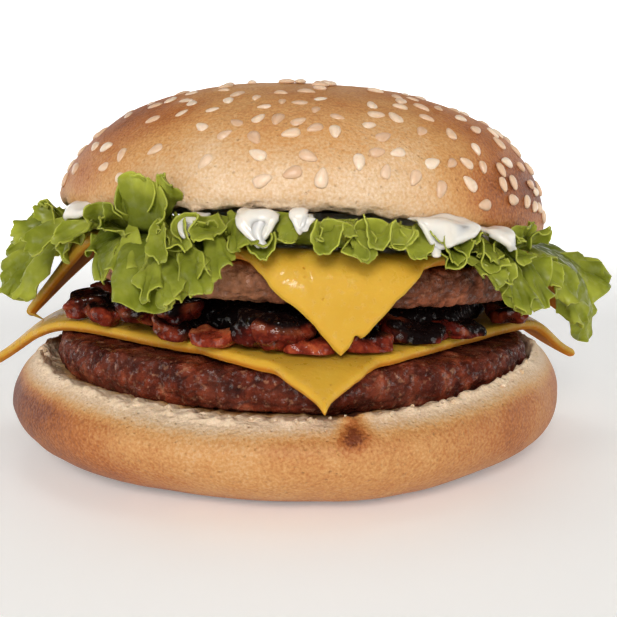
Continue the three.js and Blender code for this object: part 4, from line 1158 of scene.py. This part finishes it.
def pours():
    """All the sauce that lies over the lettuce."""
    bodies = []
    for k, (middle, spread, out, top, bottom, drips) in enumerate(POURS):
        bodies.append(pour(middle, spread, out, top, bottom, drips, 300 + 5 * k))
        bodies += [drip(*each, out, top - 1, 340 + k) for each in drips]
    points, faces = joined(bodies)
    piece("mayonnaise_runs", placed(points, UPPER_TILT, z=SALAD.z), faces, SAUCE,
          "mayonnaise", "mayonnaise")


# ---------- the studio
def camera():
    """Level with the burger's middle, looking slightly down at its front."""
    data = bpy.data.cameras.new("camera")
    data.sensor_width = CAMERA.sensor
    data.lens = CAMERA.lens
    data.clip_start, data.clip_end = 0.01, 20
    item = bpy.data.objects.new("camera", data)
    item.location = Vector(CAMERA.place) * MM
    item.rotation_euler = (math.radians(90 - CAMERA.looks_down), 0, 0)
    bpy.context.scene.collection.objects.link(item)
    bpy.context.scene.camera = item


def floor():
    """A pale round floor whose edge curves up into a wall, so that every view has a plain ground; it glows,
    and its glow lights the burger too.
    """
    flat, bend, height, segments, rows = 1.1, 0.5, 0.8, 96, 12
    angle = around(segments)
    turn = np.linspace(0, math.pi / 2, rows)[:, None]
    r = np.concatenate([[[0.1], [flat * 0.6]], flat + bend * np.sin(turn), [[flat + bend]]])
    z = np.concatenate([[[0.0], [0.0]], bend - bend * np.cos(turn), [[height]]])
    rings = polar(r, angle, z)
    index = 1 + np.arange(rings.shape[0] * segments).reshape(-1, segments)
    after = np.roll(index, -1, axis=1)
    faces = np.stack([index[:-1], index[1:], after[1:], after[:-1]], axis=-1).reshape(-1, 4).tolist()
    faces += [[0, a, b] for a, b in zip(index[0].tolist(), after[0].tolist())]
    mesh = bpy.data.meshes.new("floor")
    mesh.from_pydata(np.vstack([[0, 0, 0], rings.reshape(-1, 3)]).tolist(), [], faces)
    mesh.shade_smooth()
    look = Look("floor_paper", Roughness=0.8, Emission_Color=(1, 1, 1, 1))
    tint = look.mix(look.noise(400, 2), colour("f7f6f4"), colour("fafaf9"))
    away = look.add("VectorMath", "Value", {0: look.place}, operation="LENGTH")
    depth = look.add("SeparateXYZ", "Y", {0: look.place})
    # The floor and its wall glow though they are no lamp: brighter further away, dimmer behind the camera.
    glow = look.math("MULTIPLY", look.fit(away, 200, 800, 0.2, 0.75), look.fit(depth, -500, 200, 0.5, 1.0))
    mesh.materials.append(look.done(Base_Color=tint, Emission_Strength=glow))
    item = bpy.data.objects.new("floor", mesh)
    bpy.context.scene.collection.objects.link(item)


def softbox(name, place, size, power, tint):
    """A square light that faces the burger."""
    data = bpy.data.lights.new(name, "AREA")
    data.size = size
    data.energy = power
    data.color = tint
    item = bpy.data.objects.new(name, data)
    item.location = place
    item.rotation_euler = (Vector((0, 0, 0.04)) - item.location).to_track_quat("-Z", "Y").to_euler()
    item.visible_camera = False
    bpy.context.scene.collection.objects.link(item)


def lights():
    """A key light in front, a softer one above and a faint, even light from all sides."""
    softbox("key_light", Vector((-0.05, -0.75, 0.4)), 0.26, 4.1, (1, 0.97, 0.93))
    softbox("top_light", Vector((0, 0.1, 1.2)), 0.7, 2.2, (1, 0.99, 0.98))
    world = bpy.data.worlds.new("studio")
    world.use_nodes = True
    world.node_tree.nodes["Background"].inputs["Color"].default_value = (1, 1, 1, 1)
    world.node_tree.nodes["Background"].inputs["Strength"].default_value = 0.08
    bpy.context.scene.world = world
    bpy.context.scene.view_settings.view_transform = "Standard"


# ---------- the whole scene
BREAD = crust_look()
SESAME = seed_look()
BEEF = beef_look()
CHEDDAR = cheese_look()
RASHER = bacon_look()
LETTUCE = lettuce_look()
SAUCE = mayonnaise_look()

heel()
crumbs()
patty("lower_patty", LOWER_PATTY, LOWER_TILT)
cheese(LOWER_CORNERS)
bacon()
patty("upper_patty", UPPER_PATTY, UPPER_TILT)
cheese(UPPER_CORNERS)
for node, sheets in LEAVES.items():
    for sheet, sizes in sheets.items():
        leaf(node, sheet, sizes)
for node in LOBES:
    lobes(node)
mayonnaise()
pours()
crown()
seeds()
camera()
floor()
lights()
